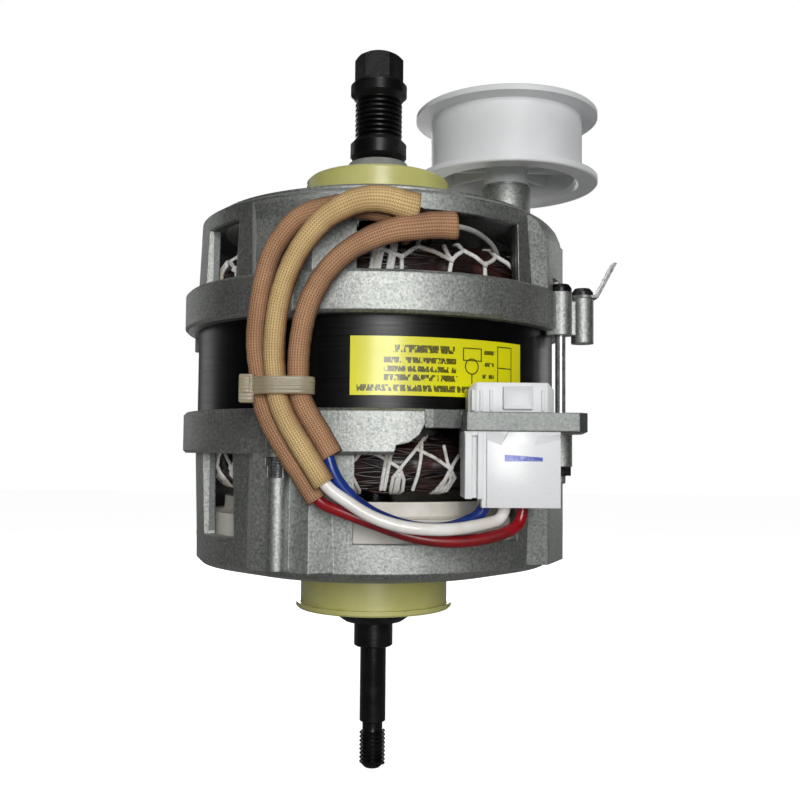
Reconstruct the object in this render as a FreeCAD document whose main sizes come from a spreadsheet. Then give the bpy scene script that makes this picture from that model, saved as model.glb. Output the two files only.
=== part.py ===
import FreeCAD, Part
import math
import os
import re

import Sketcher
from FreeCAD import Placement, Rotation, Vector

# Dryer motor: a cast aluminium induction motor with its shaft upright.
# It drives a drum belt with the ribbed spindle on top and a fan on the threaded end below.
# Z is the shaft axis, Z = 0 is the lower end of the lower mount ring's seat, -Y is the label side.

doc = FreeCAD.newDocument("DryerMotor")
sizes = doc.addObject("Spreadsheet::Sheet", "Sizes")

# Driving dimensions in millimetres and degrees: name, value or a sum of those above it
DRIVING = [
    # heights up the shaft axis
    ("lower_hub_top", 10.1),
    ("lower_rim_bottom", 16.5),
    ("lower_sill_height", 5.6),
    ("lower_band_bottom", 45.2),
    ("lower_band_height", 12.0),
    ("band_spacing", 24.5),
    ("upper_band_height", 11.3),
    ("upper_rim_top", 116.2),
    ("upper_head_height", 6.2),
    ("upper_hub_rise", 4.1),
    ("upper_ring_height", 11.2),
    ("upper_head_bottom", "=upper_rim_top - upper_head_height"),
    ("upper_hub_bottom", "=upper_rim_top + upper_hub_rise"),
    ("upper_ring_top", "=upper_hub_bottom + upper_ring_height"),
    # the two cast end shields
    ("band_radius", 59.1),
    ("band_step", 3.7),
    ("wall_radius", "=band_radius - band_step"),
    ("wall_draft", 0.9),
    ("wall_thickness", 4.0),
    ("seat_depth", 4.9),
    ("edge_break", 0.8),
    ("hub_radius", 19.0),
    ("window_turn", 20.0),
    ("window_width", "=band_radius * 47.6 / 59.1"),
    ("side_rib_width", 12.6),
    ("pillar_step", 1.2),
    ("pillar_face_radius", "=band_radius - pillar_step"),
    ("pillar_face_width", "=band_radius * 17.0 / 59.1"),
    ("pillar_root_width", "=band_radius * 27.0 / 59.1"),
    # through bolts and their bosses
    ("bolt_step", 0.2),
    ("bolt_circle_radius", "=band_radius + bolt_step"),
    ("bolt_radius", 1.5),
    ("bolt_clearance", 0.3),
    ("bolt_boss_radius", 3.4),
    ("bolt_head_radius", 3.3),
    ("bolt_head_height", 2.6),
    ("bolt_rib_radius", 2.7),
    ("nut_radius", 3.1),
    ("nut_height", 2.6),
    # stator
    ("core_cover", 4.1),
    ("core_radius", "=band_radius - core_cover"),
    ("core_depth", 22.0),
    ("core_bore_radius", "=core_radius - core_depth"),
    ("core_fit", 0.05),
    ("slot_count", 24),
    ("slot_width", 4.6),
    ("core_back", 9.0),
    ("slot_outer_radius", "=core_radius - core_back"),
    ("slot_mouth_width", 1.8),
    ("head_rise", 2.6),
    ("head_height", 14.0),
    ("head_inset", 12.0),
    ("head_radius", "=core_radius - head_inset"),
    ("head_width", 12.8),
    ("liner_gap", 0.25),
    ("lacing_radius", 0.65),
    ("lacing_gap", 0.3),
    # rotor and shaft
    ("air_gap", 0.4),
    ("end_ring_height", 5.0),
    ("end_ring_thickness", 9.0),
    ("blade_count", 10),
    ("blade_height", 5.5),
    ("journal_radius", 6.0),
    ("journal_drop", 14.05),
    ("spindle_radius", 5.0),
    ("tail_radius", 4.0),
    ("tail_length", 23.0),
    ("undercut_radius", 3.1),
    ("undercut_width", 2.3),
    ("thread_length", 11.8),
    # bearings
    ("bearing_radius", 16.0),
    ("bearing_width", 10.0),
    ("race_thickness", 2.6),
    ("ball_count", 7),
    ("ball_play", 0.05),
    ("track_depth", 1.1),
    # drive spindle pulley
    ("pulley_rise", 6.7),
    ("pulley_bottom", "=upper_ring_top + pulley_rise"),
    ("pulley_collar_height", 7.2),
    ("pulley_belt_width", 12.8),
    ("pulley_top_collar_height", 6.0),
    ("pulley_nose_height", 9.0),
    ("pulley_collar_radius", 9.0),
    ("pulley_belt_radius", 7.5),
    ("groove_pitch", 1.6),
    ("groove_depth", 1.0),
    # mount rings, seals and dust disc
    ("ring_radius", 22.7),
    ("ring_fit", 0.1),
    ("ring_lip", 1.4),
    ("ring_lip_height", 1.7),
    ("seal_radius", 11.3),
    ("seal_height", 6.0),
    ("seal_play", 0.3),
    ("disc_radius", 13.0),
    ("disc_height", 4.6),
    # belt idler on its cast post
    ("idler_x", "=band_radius * 43.8 / 59.1"),
    ("idler_y", "=band_radius * 20.0 / 59.1"),
    ("idler_radius", 30.8),
    ("idler_tread_radius", 25.6),
    ("idler_flange_height", 2.0),
    ("idler_height", 24.5),
    ("idler_wall", 2.6),
    ("idler_hub_radius", 7.4),
    ("idler_rib_count", 8),
    ("idler_web_height", 2.4),
    ("post_radius", 8.3),
    ("post_height", 19.7),
    ("idler_pin_radius", 4.0),
    ("idler_play", 0.06),
    ("idler_washer_height", 0.9),
    # connector and its plate
    ("plate_height", 4.8),
    ("plate_drop", 0.9),
    ("plate_left", 22.0),
    ("plate_right", "=band_radius - 5.1"),
    ("connector_left", 23.6),
    ("connector_width", 22.0),
    ("connector_depth", 11.0),
    ("connector_inset", 0.6),
    ("label_thickness", 0.4),
    ("label_clearance", 0.22),
    ("label_radius", "=core_radius + core_fit + label_thickness"),
    ("connector_back", "=sqrt(label_radius ^ 2 - connector_left ^ 2) + label_clearance"),
    ("connector_front", "=connector_back + connector_depth"),
    ("plate_front", "=connector_front + connector_inset"),
    ("connector_drop", 19.3),
    ("connector_rise", 7.5),
    ("connector_shoulder", 1.3),
    ("connector_wall", 1.4),
    # label, earth tab, fan guide
    ("label_height", 15.4),
    ("label_left_turn", -7.0),
    ("label_right_turn", 46.0),
    ("earth_step", 3.5),
    ("earth_x", "=band_radius + earth_step"),
    ("earth_y", 14.0),
    ("guide_inset", 4.8),
    ("guide_radius", "=wall_radius - guide_inset"),
    ("guide_height", 6.4),
    ("guide_step", 4.4),
    # leads
    ("sleeve_radius", 2.6),
    ("sleeve_play", 0.45),
    ("tie_gap", 0.5),
    ("tie_thickness", 0.9),
    ("tie_width", 4.4),
    ("tie_rise", 5.1),
    ("wire_radius", 1.55),
]

for row, (name, number) in enumerate(DRIVING, start=1):
    sizes.set(f"A{row}", name)
    sizes.set(f"B{row}", str(number))
    sizes.setAlias(f"B{row}", name)
doc.recompute()
ALIASES = {name for name, number in DRIVING}


def linked(text):
    """Give an expression in which each size name is a cell of the sheet."""
    return re.sub(r"[a-z][a-z_]*[a-z]", lambda word: "Sizes." + word.group(0)
                  if word.group(0) in ALIASES else word.group(0), text)


class Read:
    """Numbers of the sheet, read by name."""

    def __getattr__(self, name):
        return float(getattr(sizes, name))


size = Read()

# Heights that follow from the driving ones, as expressions
LOWER_SILL = "(lower_rim_bottom + lower_sill_height)"
LOWER_BAND_TOP = "(lower_band_bottom + lower_band_height)"
UPPER_BAND_BOTTOM = "(lower_band_bottom + lower_band_height + band_spacing)"
UPPER_BAND_TOP = "(lower_band_bottom + lower_band_height + band_spacing + upper_band_height)"
CORE_BOTTOM = "(lower_band_bottom + lower_band_height - seat_depth)"
CORE_TOP = "(lower_band_bottom + lower_band_height + band_spacing + seat_depth)"
PLATE_TOP = "(lower_band_bottom + lower_band_height - plate_drop)"
PLATE_BOTTOM = "(lower_band_bottom + lower_band_height - plate_drop - plate_height)"
POST_TOP = "(upper_rim_top + post_height)"
IDLER_BOTTOM = "(upper_rim_top + post_height + idler_washer_height)"
RING_BOTTOM = "(-ring_lip_height)"
LOWER_RACE_BOTTOM = "(2.2 - ring_lip_height)"
UPPER_RACE_BOTTOM = "(upper_ring_top - 2.4 - bearing_width)"
MOUTH = "(band_radius + 20)"

kept = []


def keep(piece, label):
    """Mark an object as a finished piece and give it the name of its file."""
    piece.Label = label
    kept.append(piece)
    return piece


def origin_plane(body, role):
    for feature in body.Origin.OriginFeatures:
        if feature.Role == role:
            return feature


def new_sketch(body, name, role="XZ_Plane", lift="0", turn="0"):
    """Attach an empty sketch to one of the body's own origin planes, lifted and turned."""
    sketch = body.newObject("Sketcher::SketchObject", name)
    sketch.AttachmentSupport = [(origin_plane(body, role), "")]
    sketch.MapMode = "FlatFace"
    sketch.AttachmentOffset = Placement(Vector(0, 0, 0), Rotation(Vector(0, 0, 1), 1))
    sketch.setExpression("AttachmentOffset.Base.z", linked(lift))
    sketch.setExpression("AttachmentOffset.Rotation.Angle", linked(turn))
    return sketch


def add_outline(sketch, corners):
    """Draw a closed outline whose corners are pairs of expressions from the sketch origin."""
    count = len(corners)
    first = sketch.GeometryCount
    start = [Vector(10 * math.cos(math.tau * i / count), 10 * math.sin(math.tau * i / count), 0)
             for i in range(count)]
    for i in range(count):
        sketch.addGeometry(Part.LineSegment(start[i], start[(i + 1) % count]), False)
    for i in range(count):
        following = first + (i + 1) % count
        sketch.addConstraint(Sketcher.Constraint("Coincident", first + i, 2, following, 1))
    for i, (across, along) in enumerate(corners):
        for kind, text, now in (("DistanceX", across, start[i].x), ("DistanceY", along, start[i].y)):
            index = sketch.addConstraint(Sketcher.Constraint(kind, -1, 1, first + i, 1, now))
            sketch.setExpression(f"Constraints[{index}]", linked(text))


def add_circle(sketch, across, along, radius):
    """Draw a circle whose centre and radius are expressions."""
    index = sketch.addGeometry(Part.Circle(Vector(5, 5, 0), Vector(0, 0, 1), 3), False)
    for constraint, text in ((Sketcher.Constraint("DistanceX", -1, 1, index, 3, 5.0), across),
                             (Sketcher.Constraint("DistanceY", -1, 1, index, 3, 5.0), along),
                             (Sketcher.Constraint("Radius", index, 3.0), radius)):
        place = sketch.addConstraint(constraint)
        sketch.setExpression(f"Constraints[{place}]", linked(text))


def turned(name, profile):
    """Turn a profile of radius and height expressions about the shaft axis."""
    body = doc.addObject("PartDesign::Body", name)
    sketch = new_sketch(body, name + "_profile")
    add_outline(sketch, profile)
    turn = body.newObject("PartDesign::Revolution", name + "_turned")
    turn.Profile = sketch
    turn.ReferenceAxis = (sketch, ["V_Axis"])
    turn.Angle = 360
    return body


def extrude(body, name, sketch, length, cut=False):
    """Pad a sketch upwards, or pocket upwards from it, by an expression of length."""
    feature = body.newObject("PartDesign::Pocket" if cut else "PartDesign::Pad", name)
    feature.Profile = sketch
    feature.setExpression("Length", linked(length))
    feature.Reversed = cut
    return feature


def spread(body, name, features, count, axis=None):
    """Repeat features round the shaft axis by an expression of count."""
    pattern = body.newObject("PartDesign::PolarPattern", name)
    pattern.Originals = features
    pattern.Axis = axis or (origin_plane(body, "Z_Axis"), [""])
    pattern.Angle = 360
    pattern.setExpression("Occurrences", linked(count))
    body.Tip = pattern
    return pattern


def box_corners(left, right, front, back):
    return [(left, front), (right, front), (right, back), (left, back)]


def bolt_bosses(body, name, bottom, height, radius, turn, count, root):
    """Add bosses on the bolt circle, each with a web back into the wall."""
    sketch = new_sketch(body, name + "_round", "XY_Plane", bottom, turn)
    add_circle(sketch, "bolt_circle_radius", "0", radius)
    boss = extrude(body, name + "_boss", sketch, height)
    sketch = new_sketch(body, name + "_web_outline", "XY_Plane", bottom, turn)
    add_outline(sketch, box_corners(root, "bolt_circle_radius", f"-({radius})", radius))
    web = extrude(body, name + "_web", sketch, height)
    spread(body, name + "_set", [boss, web], count)


def bolt_holes(body, name, bottom, height, radius, turn, count):
    """Cut round holes on the bolt circle."""
    sketch = new_sketch(body, name + "_round", "XY_Plane", bottom, turn)
    add_circle(sketch, "bolt_circle_radius", "0", radius)
    hole = extrude(body, name + "_hole", sketch, height, cut=True)
    spread(body, name + "_set", [hole], count)


def pillar_faces(body, name, bottom, height):
    """Thicken the wall into a ridge between the windows, where each bolt runs."""
    sketch = new_sketch(body, name + "_outline", "XY_Plane", bottom, "window_turn + 45")
    root = "wall_radius - wall_thickness + 1.2"
    add_outline(sketch, [(root, "-pillar_root_width / 2"), ("pillar_face_radius", "-pillar_face_width / 2"),
                         ("pillar_face_radius", "pillar_face_width / 2"), (root, "pillar_root_width / 2")])
    spread(body, name + "_set", [extrude(body, name + "_ridge", sketch, height)], "4")


def windows(body, name, bottom, height):
    """Open the wall in four places and leave a rib up the middle of the two side windows."""
    for part, low, high, count, turn in (
            ("front", "-window_width / 2", "window_width / 2", "2", "window_turn - 90"),
            ("side_near", "-window_width / 2", "-side_rib_width / 2", "2", "window_turn"),
            ("side_far", "side_rib_width / 2", "window_width / 2", "2", "window_turn")):
        sketch = new_sketch(body, f"{name}_{part}_outline", "XY_Plane", bottom, turn)
        add_outline(sketch, box_corners("core_bore_radius", MOUTH, low, high))
        opening = extrude(body, f"{name}_{part}_opening", sketch, height, cut=True)
        spread(body, f"{name}_{part}_set", [opening], count)


def lower_end_shield():
    """Lower casting: band, four pillars, sill ring, dished floor, bearing hub, connector plate."""
    floor = "(lower_hub_top + 3.4)"
    body = turned("lower_end_shield", [
        ("core_radius + core_fit", LOWER_BAND_TOP),
        ("band_radius - edge_break", LOWER_BAND_TOP),
        ("band_radius", f"{LOWER_BAND_TOP} - edge_break"),
        ("band_radius", "lower_band_bottom + edge_break"),
        ("band_radius - edge_break", "lower_band_bottom"),
        ("wall_radius", "lower_band_bottom"),
        ("wall_radius - wall_draft", "lower_rim_bottom + 1.6"),
        ("wall_radius - wall_draft - 1.6", "lower_rim_bottom"),
        ("wall_radius - 14", "lower_hub_top + 0.4"),
        ("hub_radius", "lower_hub_top"),
        ("hub_radius", RING_BOTTOM + " + 1.4"),
        ("hub_radius - 1", RING_BOTTOM + " + 0.4"),
        ("bearing_radius - 3.5", RING_BOTTOM + " + 0.4"),
        ("bearing_radius - 3.5", LOWER_RACE_BOTTOM),
        ("bearing_radius", LOWER_RACE_BOTTOM),
        ("bearing_radius", f"{floor} + 1"),
        ("hub_radius + 2", f"{floor} + 1"),
        ("hub_radius + 3.5", floor),
        ("wall_radius - 14", floor),
        ("wall_radius - wall_thickness - 2", LOWER_SILL + " - 1.4"),
        ("wall_radius - wall_thickness", LOWER_SILL),
        ("wall_radius - wall_thickness + 0.4", CORE_BOTTOM),
        ("core_radius + core_fit", CORE_BOTTOM),
    ])
    pillar_faces(body, "lower_pillar", "lower_rim_bottom + 1.8", "lower_band_bottom - lower_rim_bottom - 1.6")
    windows(body, "lower_window", LOWER_SILL, f"lower_band_bottom - {LOWER_SILL}")
    # bosses on the band, long ribs on two pillars, short bosses for nuts on the other two
    bolt_bosses(body, "band", "lower_band_bottom - 3", "lower_band_height + 3", "bolt_boss_radius",
                "window_turn + 45", "4", "core_radius + 1")
    bolt_bosses(body, "pillar_rib", "lower_rim_bottom + 2.4", "lower_band_bottom - lower_rim_bottom - 2.6",
                "bolt_rib_radius", "window_turn + 45", "2", "wall_radius - 2")
    # the connector plate leaves the band at the right front and wraps round that bolt
    sketch = new_sketch(body, "plate_outline", "XY_Plane", PLATE_BOTTOM)
    add_outline(sketch, [("plate_left", "-plate_front + 1"), ("plate_left + 1", "-plate_front"),
                         ("plate_right - 2.5", "-plate_front"), ("plate_right", "-plate_front + 2.5"),
                         ("plate_right + 6", "-bolt_circle_radius * 0.42"),
                         ("plate_right + 3", "-bolt_circle_radius * 0.3")]
                + [(f"(core_radius + 1.4) * cos({turn})", f"(core_radius + 1.4) * sin({turn})")
                   for turn in (-17, -29, -41, -53, -65)])
    extrude(body, "plate", sketch, "plate_height")
    # the band is cut back beside the plate, and its lower edge sweeps up to the recess
    sketch = new_sketch(body, "recess_outline", "XY_Plane", "lower_band_bottom - 4")
    add_outline(sketch, [("12.7", "-core_radius - 0.2"), ("plate_left", "-core_radius + 3"),
                         ("plate_left", "-plate_front - 4"), ("12.7", "-plate_front - 4")])
    extrude(body, "recess", sketch, "lower_band_height + 6", cut=True)
    sketch = new_sketch(body, "sweep_outline", "XZ_Plane", "core_radius - 4")
    add_outline(sketch, [("4.5", "lower_band_bottom - 1"), ("5.3", "lower_band_bottom + 2.5"),
                         ("8.6", "lower_band_bottom + 3.2"), ("11.2", "lower_band_bottom + 5.2"),
                         ("12.8", "lower_band_bottom + 8.2"), ("13.2", "lower_band_bottom - 1")])
    sweep = extrude(body, "sweep", sketch, "12", cut=True)
    sweep.Reversed = True
    # the connector stands in a square hole, clear of its body all round
    sketch = new_sketch(body, "connector_hole_outline", "XY_Plane", "lower_band_bottom")
    add_outline(sketch, box_corners("connector_left + connector_shoulder - 0.2",
                                    "connector_left + connector_width - connector_shoulder + 0.2",
                                    "-connector_front + 1.8", "-connector_front + connector_depth - 0.8"))
    extrude(body, "connector_hole", sketch, "lower_band_height + 1", cut=True)
    sketch = new_sketch(body, "connector_room_outline", "XY_Plane", "lower_band_bottom - 4")
    add_outline(sketch, box_corners("plate_left - 0.2", "plate_left + 12", "-plate_front - 4",
                                    "-connector_front + connector_depth + 0.5"))
    extrude(body, "connector_room", sketch, f"{PLATE_BOTTOM} - lower_band_bottom + 4", cut=True)
    sketch = new_sketch(body, "collar_room_outline", "XY_Plane", PLATE_TOP)
    add_outline(sketch, box_corners("connector_left - 0.3", "connector_left + connector_width + 0.3",
                                    "-plate_front - 4", "-connector_front + connector_depth + 0.3"))
    extrude(body, "collar_room", sketch, "plate_drop + 1", cut=True)
    bolt_holes(body, "bolt", "lower_band_bottom - 10", "lower_band_height + 11", "bolt_radius + bolt_clearance",
               "window_turn + 45", "4")
    bolt_holes(body, "nut_room", "lower_band_bottom - 10", "7", "nut_radius + 0.4", "window_turn - 45", "2")
    # a short slot at the top of each rib shows the bolt
    sketch = new_sketch(body, "rib_slot_outline", "XY_Plane", "lower_band_bottom - 6", "window_turn + 45")
    add_outline(sketch, box_corners("bolt_circle_radius - 1.2", MOUTH, "-bolt_radius - 0.7", "bolt_radius + 0.7"))
    slot = extrude(body, "rib_slot", sketch, "5.2", cut=True)
    spread(body, "rib_slot_set", [slot], "2")
    return keep(body, "lower_end_shield")


def upper_end_shield():
    """Upper casting: band, four pillars, rim, dished roof, bearing hub, idler post, earth boss."""
    roof = "(upper_hub_bottom - 3.6)"
    body = turned("upper_end_shield", [
        ("core_radius + core_fit", UPPER_BAND_BOTTOM),
        ("core_radius + core_fit", CORE_TOP),
        ("wall_radius - wall_thickness + 0.4", CORE_TOP),
        ("wall_radius - wall_thickness", "upper_head_bottom"),
        ("wall_radius - wall_thickness - 2", "upper_head_bottom + 1.8"),
        ("wall_radius - 14", roof),
        ("hub_radius + 3.5", roof),
        ("hub_radius + 2", f"{roof} - 1"),
        ("bearing_radius", f"{roof} - 1"),
        ("bearing_radius", f"{UPPER_RACE_BOTTOM} + bearing_width + 0.8"),
        ("bearing_radius - 4.6", f"{UPPER_RACE_BOTTOM} + bearing_width + 0.8"),
        ("bearing_radius - 4.6", "upper_ring_top - 0.2"),
        ("hub_radius - 1", "upper_ring_top - 0.2"),
        ("hub_radius", "upper_ring_top - 1.2"),
        ("hub_radius", "upper_hub_bottom"),
        ("wall_radius - 14", "upper_hub_bottom - 0.4"),
        ("wall_radius - wall_draft - 1.8", "upper_rim_top"),
        ("wall_radius - wall_draft", "upper_rim_top - 1.8"),
        ("wall_radius", UPPER_BAND_TOP),
        ("band_radius - edge_break", UPPER_BAND_TOP),
        ("band_radius", f"{UPPER_BAND_TOP} - edge_break"),
        ("band_radius", f"{UPPER_BAND_BOTTOM} + edge_break"),
        ("band_radius - edge_break", UPPER_BAND_BOTTOM),
    ])
    pillar_faces(body, "upper_pillar", f"{UPPER_BAND_TOP} - 0.4", f"upper_rim_top - {UPPER_BAND_TOP} - 2.2")
    # the shoulder between the roof and the wall is rounded, across the pillars too
    sketch = new_sketch(body, "shoulder_outline")
    add_outline(sketch, [
        ("wall_radius - 5", "upper_rim_top"), ("wall_radius - 2.6", "upper_rim_top - 0.7"),
        ("wall_radius - 0.5", "upper_rim_top - 2"), ("wall_radius + 1.1", "upper_rim_top - 4"),
        ("pillar_face_radius - 0.4", "upper_rim_top - 6.4"),
        ("pillar_face_radius + 0.1", "upper_rim_top - 8.6"),
        ("pillar_face_radius + 4", "upper_rim_top - 8.6"),
        ("pillar_face_radius + 4", "upper_rim_top + 1"), ("wall_radius - 5", "upper_rim_top + 1")])
    shoulder = body.newObject("PartDesign::Groove", "shoulder")
    shoulder.Profile = sketch
    shoulder.ReferenceAxis = (sketch, ["V_Axis"])
    shoulder.Angle = 360
    windows(body, "upper_window", UPPER_BAND_TOP, f"upper_head_bottom - {UPPER_BAND_TOP}")
    bolt_bosses(body, "band", UPPER_BAND_BOTTOM + " - 1.4", "upper_band_height + 1.4", "bolt_boss_radius",
                "window_turn + 45", "4", "core_radius + 1")
    # the earth screw has its own boss beside the right front bolt
    sketch = new_sketch(body, "earth_boss_outline", "XY_Plane", UPPER_BAND_BOTTOM + " - 2.4")
    add_circle(sketch, "earth_x", "-earth_y", "bolt_boss_radius")
    extrude(body, "earth_boss", sketch, "upper_band_height + 2.4")
    sketch = new_sketch(body, "earth_web_outline", "XY_Plane", UPPER_BAND_BOTTOM)
    add_outline(sketch, box_corners("core_radius", "earth_x", "-earth_y - 2.2", "-earth_y + 2.2"))
    extrude(body, "earth_web", sketch, "upper_band_height - 1")
    sketch = new_sketch(body, "earth_hole_outline", "XY_Plane", UPPER_BAND_BOTTOM)
    add_circle(sketch, "earth_x", "-earth_y", "bolt_radius")
    extrude(body, "earth_hole", sketch, "upper_band_height", cut=True)
    bolt_holes(body, "bolt", UPPER_BAND_BOTTOM + " - 2", "upper_band_height + 2.5",
               "bolt_radius + bolt_clearance", "window_turn + 45", "4")
    bolt_holes(body, "head_room", UPPER_BAND_TOP, "bolt_head_height + 1.4", "bolt_head_radius + 0.4",
               "window_turn + 45", "4")
    # the post that carries the belt idler stands over the rib of the right window
    sketch = new_sketch(body, "post_outline", "XY_Plane", "upper_head_bottom + 1")
    add_circle(sketch, "idler_x", "idler_y", "post_radius")
    extrude(body, "post", sketch, f"{POST_TOP} - upper_head_bottom - 1")
    sketch = new_sketch(body, "pin_hole_outline", "XY_Plane", "upper_rim_top + 2")
    add_circle(sketch, "idler_x", "idler_y", "idler_pin_radius")
    extrude(body, "pin_hole", sketch, "post_height", cut=True)
    # a locating lug hangs under the band at the left
    sketch = new_sketch(body, "lug_outline", "XY_Plane", UPPER_BAND_BOTTOM + " - 4.2", "170")
    add_outline(sketch, box_corners("core_radius + 0.3", "band_radius - 0.6", "-4", "4"))
    extrude(body, "lug", sketch, "4.6")
    return keep(body, "upper_end_shield")


def stator_core():
    """Laminated stack with slots that open to the bore."""
    body = turned("stator_core", [
        ("core_bore_radius", CORE_BOTTOM), ("core_radius", CORE_BOTTOM),
        ("core_radius", CORE_TOP), ("core_bore_radius", CORE_TOP)])
    sketch = new_sketch(body, "slot_outline", "XY_Plane", CORE_BOTTOM + " - 1")
    add_outline(sketch, [("core_bore_radius - 1", "-slot_mouth_width / 2"),
                         ("core_bore_radius + 1.2", "-slot_mouth_width / 2"),
                         ("core_bore_radius + 2.6", "-slot_width / 2"),
                         ("slot_outer_radius", "-slot_width / 2"),
                         ("slot_outer_radius", "slot_width / 2"),
                         ("core_bore_radius + 2.6", "slot_width / 2"),
                         ("core_bore_radius + 1.2", "slot_mouth_width / 2"),
                         ("core_bore_radius - 1", "slot_mouth_width / 2")])
    slot = extrude(body, "slot", sketch, f"{CORE_TOP} - {CORE_BOTTOM} + 2", cut=True)
    spread(body, "slots", [slot], "slot_count")
    return keep(body, "stator_core")


def winding():
    """Copper winding: coil sides through the slots and a rounded head at each end of the core."""
    body = doc.addObject("PartDesign::Body", "main_winding")
    for end, level, sign in (("upper", CORE_TOP, 1), ("lower", CORE_BOTTOM, -1)):
        sketch = new_sketch(body, end + "_head_profile")
        add_outline(sketch, [
            (f"head_radius + head_width / 2 * cos({angle})",
             f"{level} + {sign} * (head_rise + head_height / 2 * (1 + sin({angle})))")
            for angle in range(0, 360, 24)])
        turn = body.newObject("PartDesign::Revolution", end + "_head")
        turn.Profile = sketch
        turn.ReferenceAxis = (sketch, ["V_Axis"])
        turn.Angle = 360
    sketch = new_sketch(body, "coil_side_outline", "XY_Plane", f"{CORE_BOTTOM} - head_rise - 1.6")
    add_outline(sketch, box_corners("head_radius - head_width / 2 + 2", "slot_outer_radius - liner_gap",
                                    "-slot_width / 2 + liner_gap", "slot_width / 2 - liner_gap"))
    side = extrude(body, "coil_side", sketch, f"{CORE_TOP} - {CORE_BOTTOM} + 2 * head_rise + 3.2")
    spread(body, "coil_sides", [side], "slot_count")
    return keep(body, "main_winding")


def shaft():
    """Turned steel shaft: spindle seat, journals, plain tail, undercut and threaded end."""
    tail = "(-journal_drop - tail_length)"
    end = "(-journal_drop - tail_length - undercut_width - thread_length)"
    body = turned("shaft", [
        ("0", end), ("tail_radius - 1", end), ("tail_radius - 0.1", end + " + 1"),
        ("tail_radius - 0.1", tail + " - undercut_width"), ("undercut_radius", tail + " - undercut_width"),
        ("undercut_radius", tail), ("tail_radius", tail), ("tail_radius", "-journal_drop"),
        ("journal_radius - 0.3", "-journal_drop"), ("journal_radius", "-journal_drop + 0.4"),
        ("journal_radius", "pulley_bottom - 0.4"), ("spindle_radius", "pulley_bottom - 0.4"),
        ("spindle_radius", f"{PULLEY_TOP} - 4"), ("0", f"{PULLEY_TOP} - 4")])
    return keep(body, "shaft")


PULLEY_TOP = ("(pulley_bottom + pulley_collar_height + pulley_belt_width"
              " + pulley_top_collar_height + pulley_nose_height)")


def drive_pulley():
    """Ribbed spindle pulley pressed on the shaft, with a collar each side of the belt ribs."""
    belt = "(pulley_bottom + pulley_collar_height)"
    belt_top = "(pulley_bottom + pulley_collar_height + pulley_belt_width)"
    nose = f"({belt_top} + pulley_top_collar_height)"
    profile = [("0", f"{PULLEY_TOP} - 3.9"), ("spindle_radius", f"{PULLEY_TOP} - 3.9"),
               ("spindle_radius", "pulley_bottom"),
               ("pulley_collar_radius - 1.2", "pulley_bottom"),
               ("pulley_collar_radius", "pulley_bottom + 1.6"),
               ("pulley_collar_radius", belt + " - 1.6"),
               ("pulley_belt_radius", belt)]
    for groove in range(int(size.pulley_belt_width / size.groove_pitch)):
        foot = f"{belt} + groove_pitch * {groove}"
        profile += [("pulley_belt_radius", foot + " + groove_pitch * 0.15"),
                    ("pulley_belt_radius - groove_depth", foot + " + groove_pitch * 0.5"),
                    ("pulley_belt_radius", foot + " + groove_pitch * 0.85")]
    profile += [("pulley_belt_radius", belt_top),
                ("pulley_collar_radius", belt_top + " + 1.6"),
                ("pulley_collar_radius", nose + " - 1.2"),
                ("pulley_collar_radius - 1.2", nose),
                ("pulley_collar_radius - 1.2", f"{PULLEY_TOP} - 1.4"),
                ("pulley_collar_radius - 3.6", PULLEY_TOP),
                ("0", PULLEY_TOP)]
    body = turned("drive_pulley", profile)
    # six flats on the nose take a spanner
    sketch = new_sketch(body, "flat_outline", "XY_Plane", nose, "25")
    add_outline(sketch, box_corners("pulley_collar_radius - 2.2", "pulley_collar_radius + 2", "-12", "12"))
    flat = extrude(body, "flat", sketch, "pulley_nose_height + 1", cut=True)
    spread(body, "flats", [flat], "6")
    return keep(body, "drive_pulley")


def rotor_core():
    """Steel rotor stack on the shaft."""
    return keep(turned("rotor_core", [
        ("journal_radius", CORE_BOTTOM), ("core_bore_radius - air_gap", CORE_BOTTOM),
        ("core_bore_radius - air_gap", CORE_TOP), ("journal_radius", CORE_TOP)]), "rotor_core")


def rotor_cage():
    """Cast aluminium end rings with cooling blades, one ring each side of the rotor stack."""
    body = doc.addObject("PartDesign::Body", "rotor_cage")
    outer = "(core_bore_radius - air_gap - 1.2)"
    inner = "(core_bore_radius - air_gap - 1.2 - end_ring_thickness)"
    for end, level, sign in (("upper", CORE_TOP, "+"), ("lower", CORE_BOTTOM, "-")):
        sketch = new_sketch(body, end + "_ring_profile")
        ring_end = f"{level} {sign} end_ring_height"
        add_outline(sketch, [(inner, level), (outer, level), (outer + " - 0.5", ring_end),
                             (inner + " + 0.5", ring_end)])
        turn = body.newObject("PartDesign::Revolution", end + "_ring")
        turn.Profile = sketch
        turn.ReferenceAxis = (sketch, ["V_Axis"])
        turn.Angle = 360
        body.Tip = turn
        low = ring_end + " - 0.5" if sign == "+" else f"{level} - end_ring_height - blade_height"
        sketch = new_sketch(body, end + "_blade_outline", "XY_Plane", low)
        add_outline(sketch, box_corners(inner + " + 1.2", outer + " - 1.2", "-0.9", "0.9"))
        blade = extrude(body, end + "_blade", sketch, "blade_height + 0.5")
        spread(body, end + "_blades", [blade], "blade_count")
    return keep(body, "rotor_cage")


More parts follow.
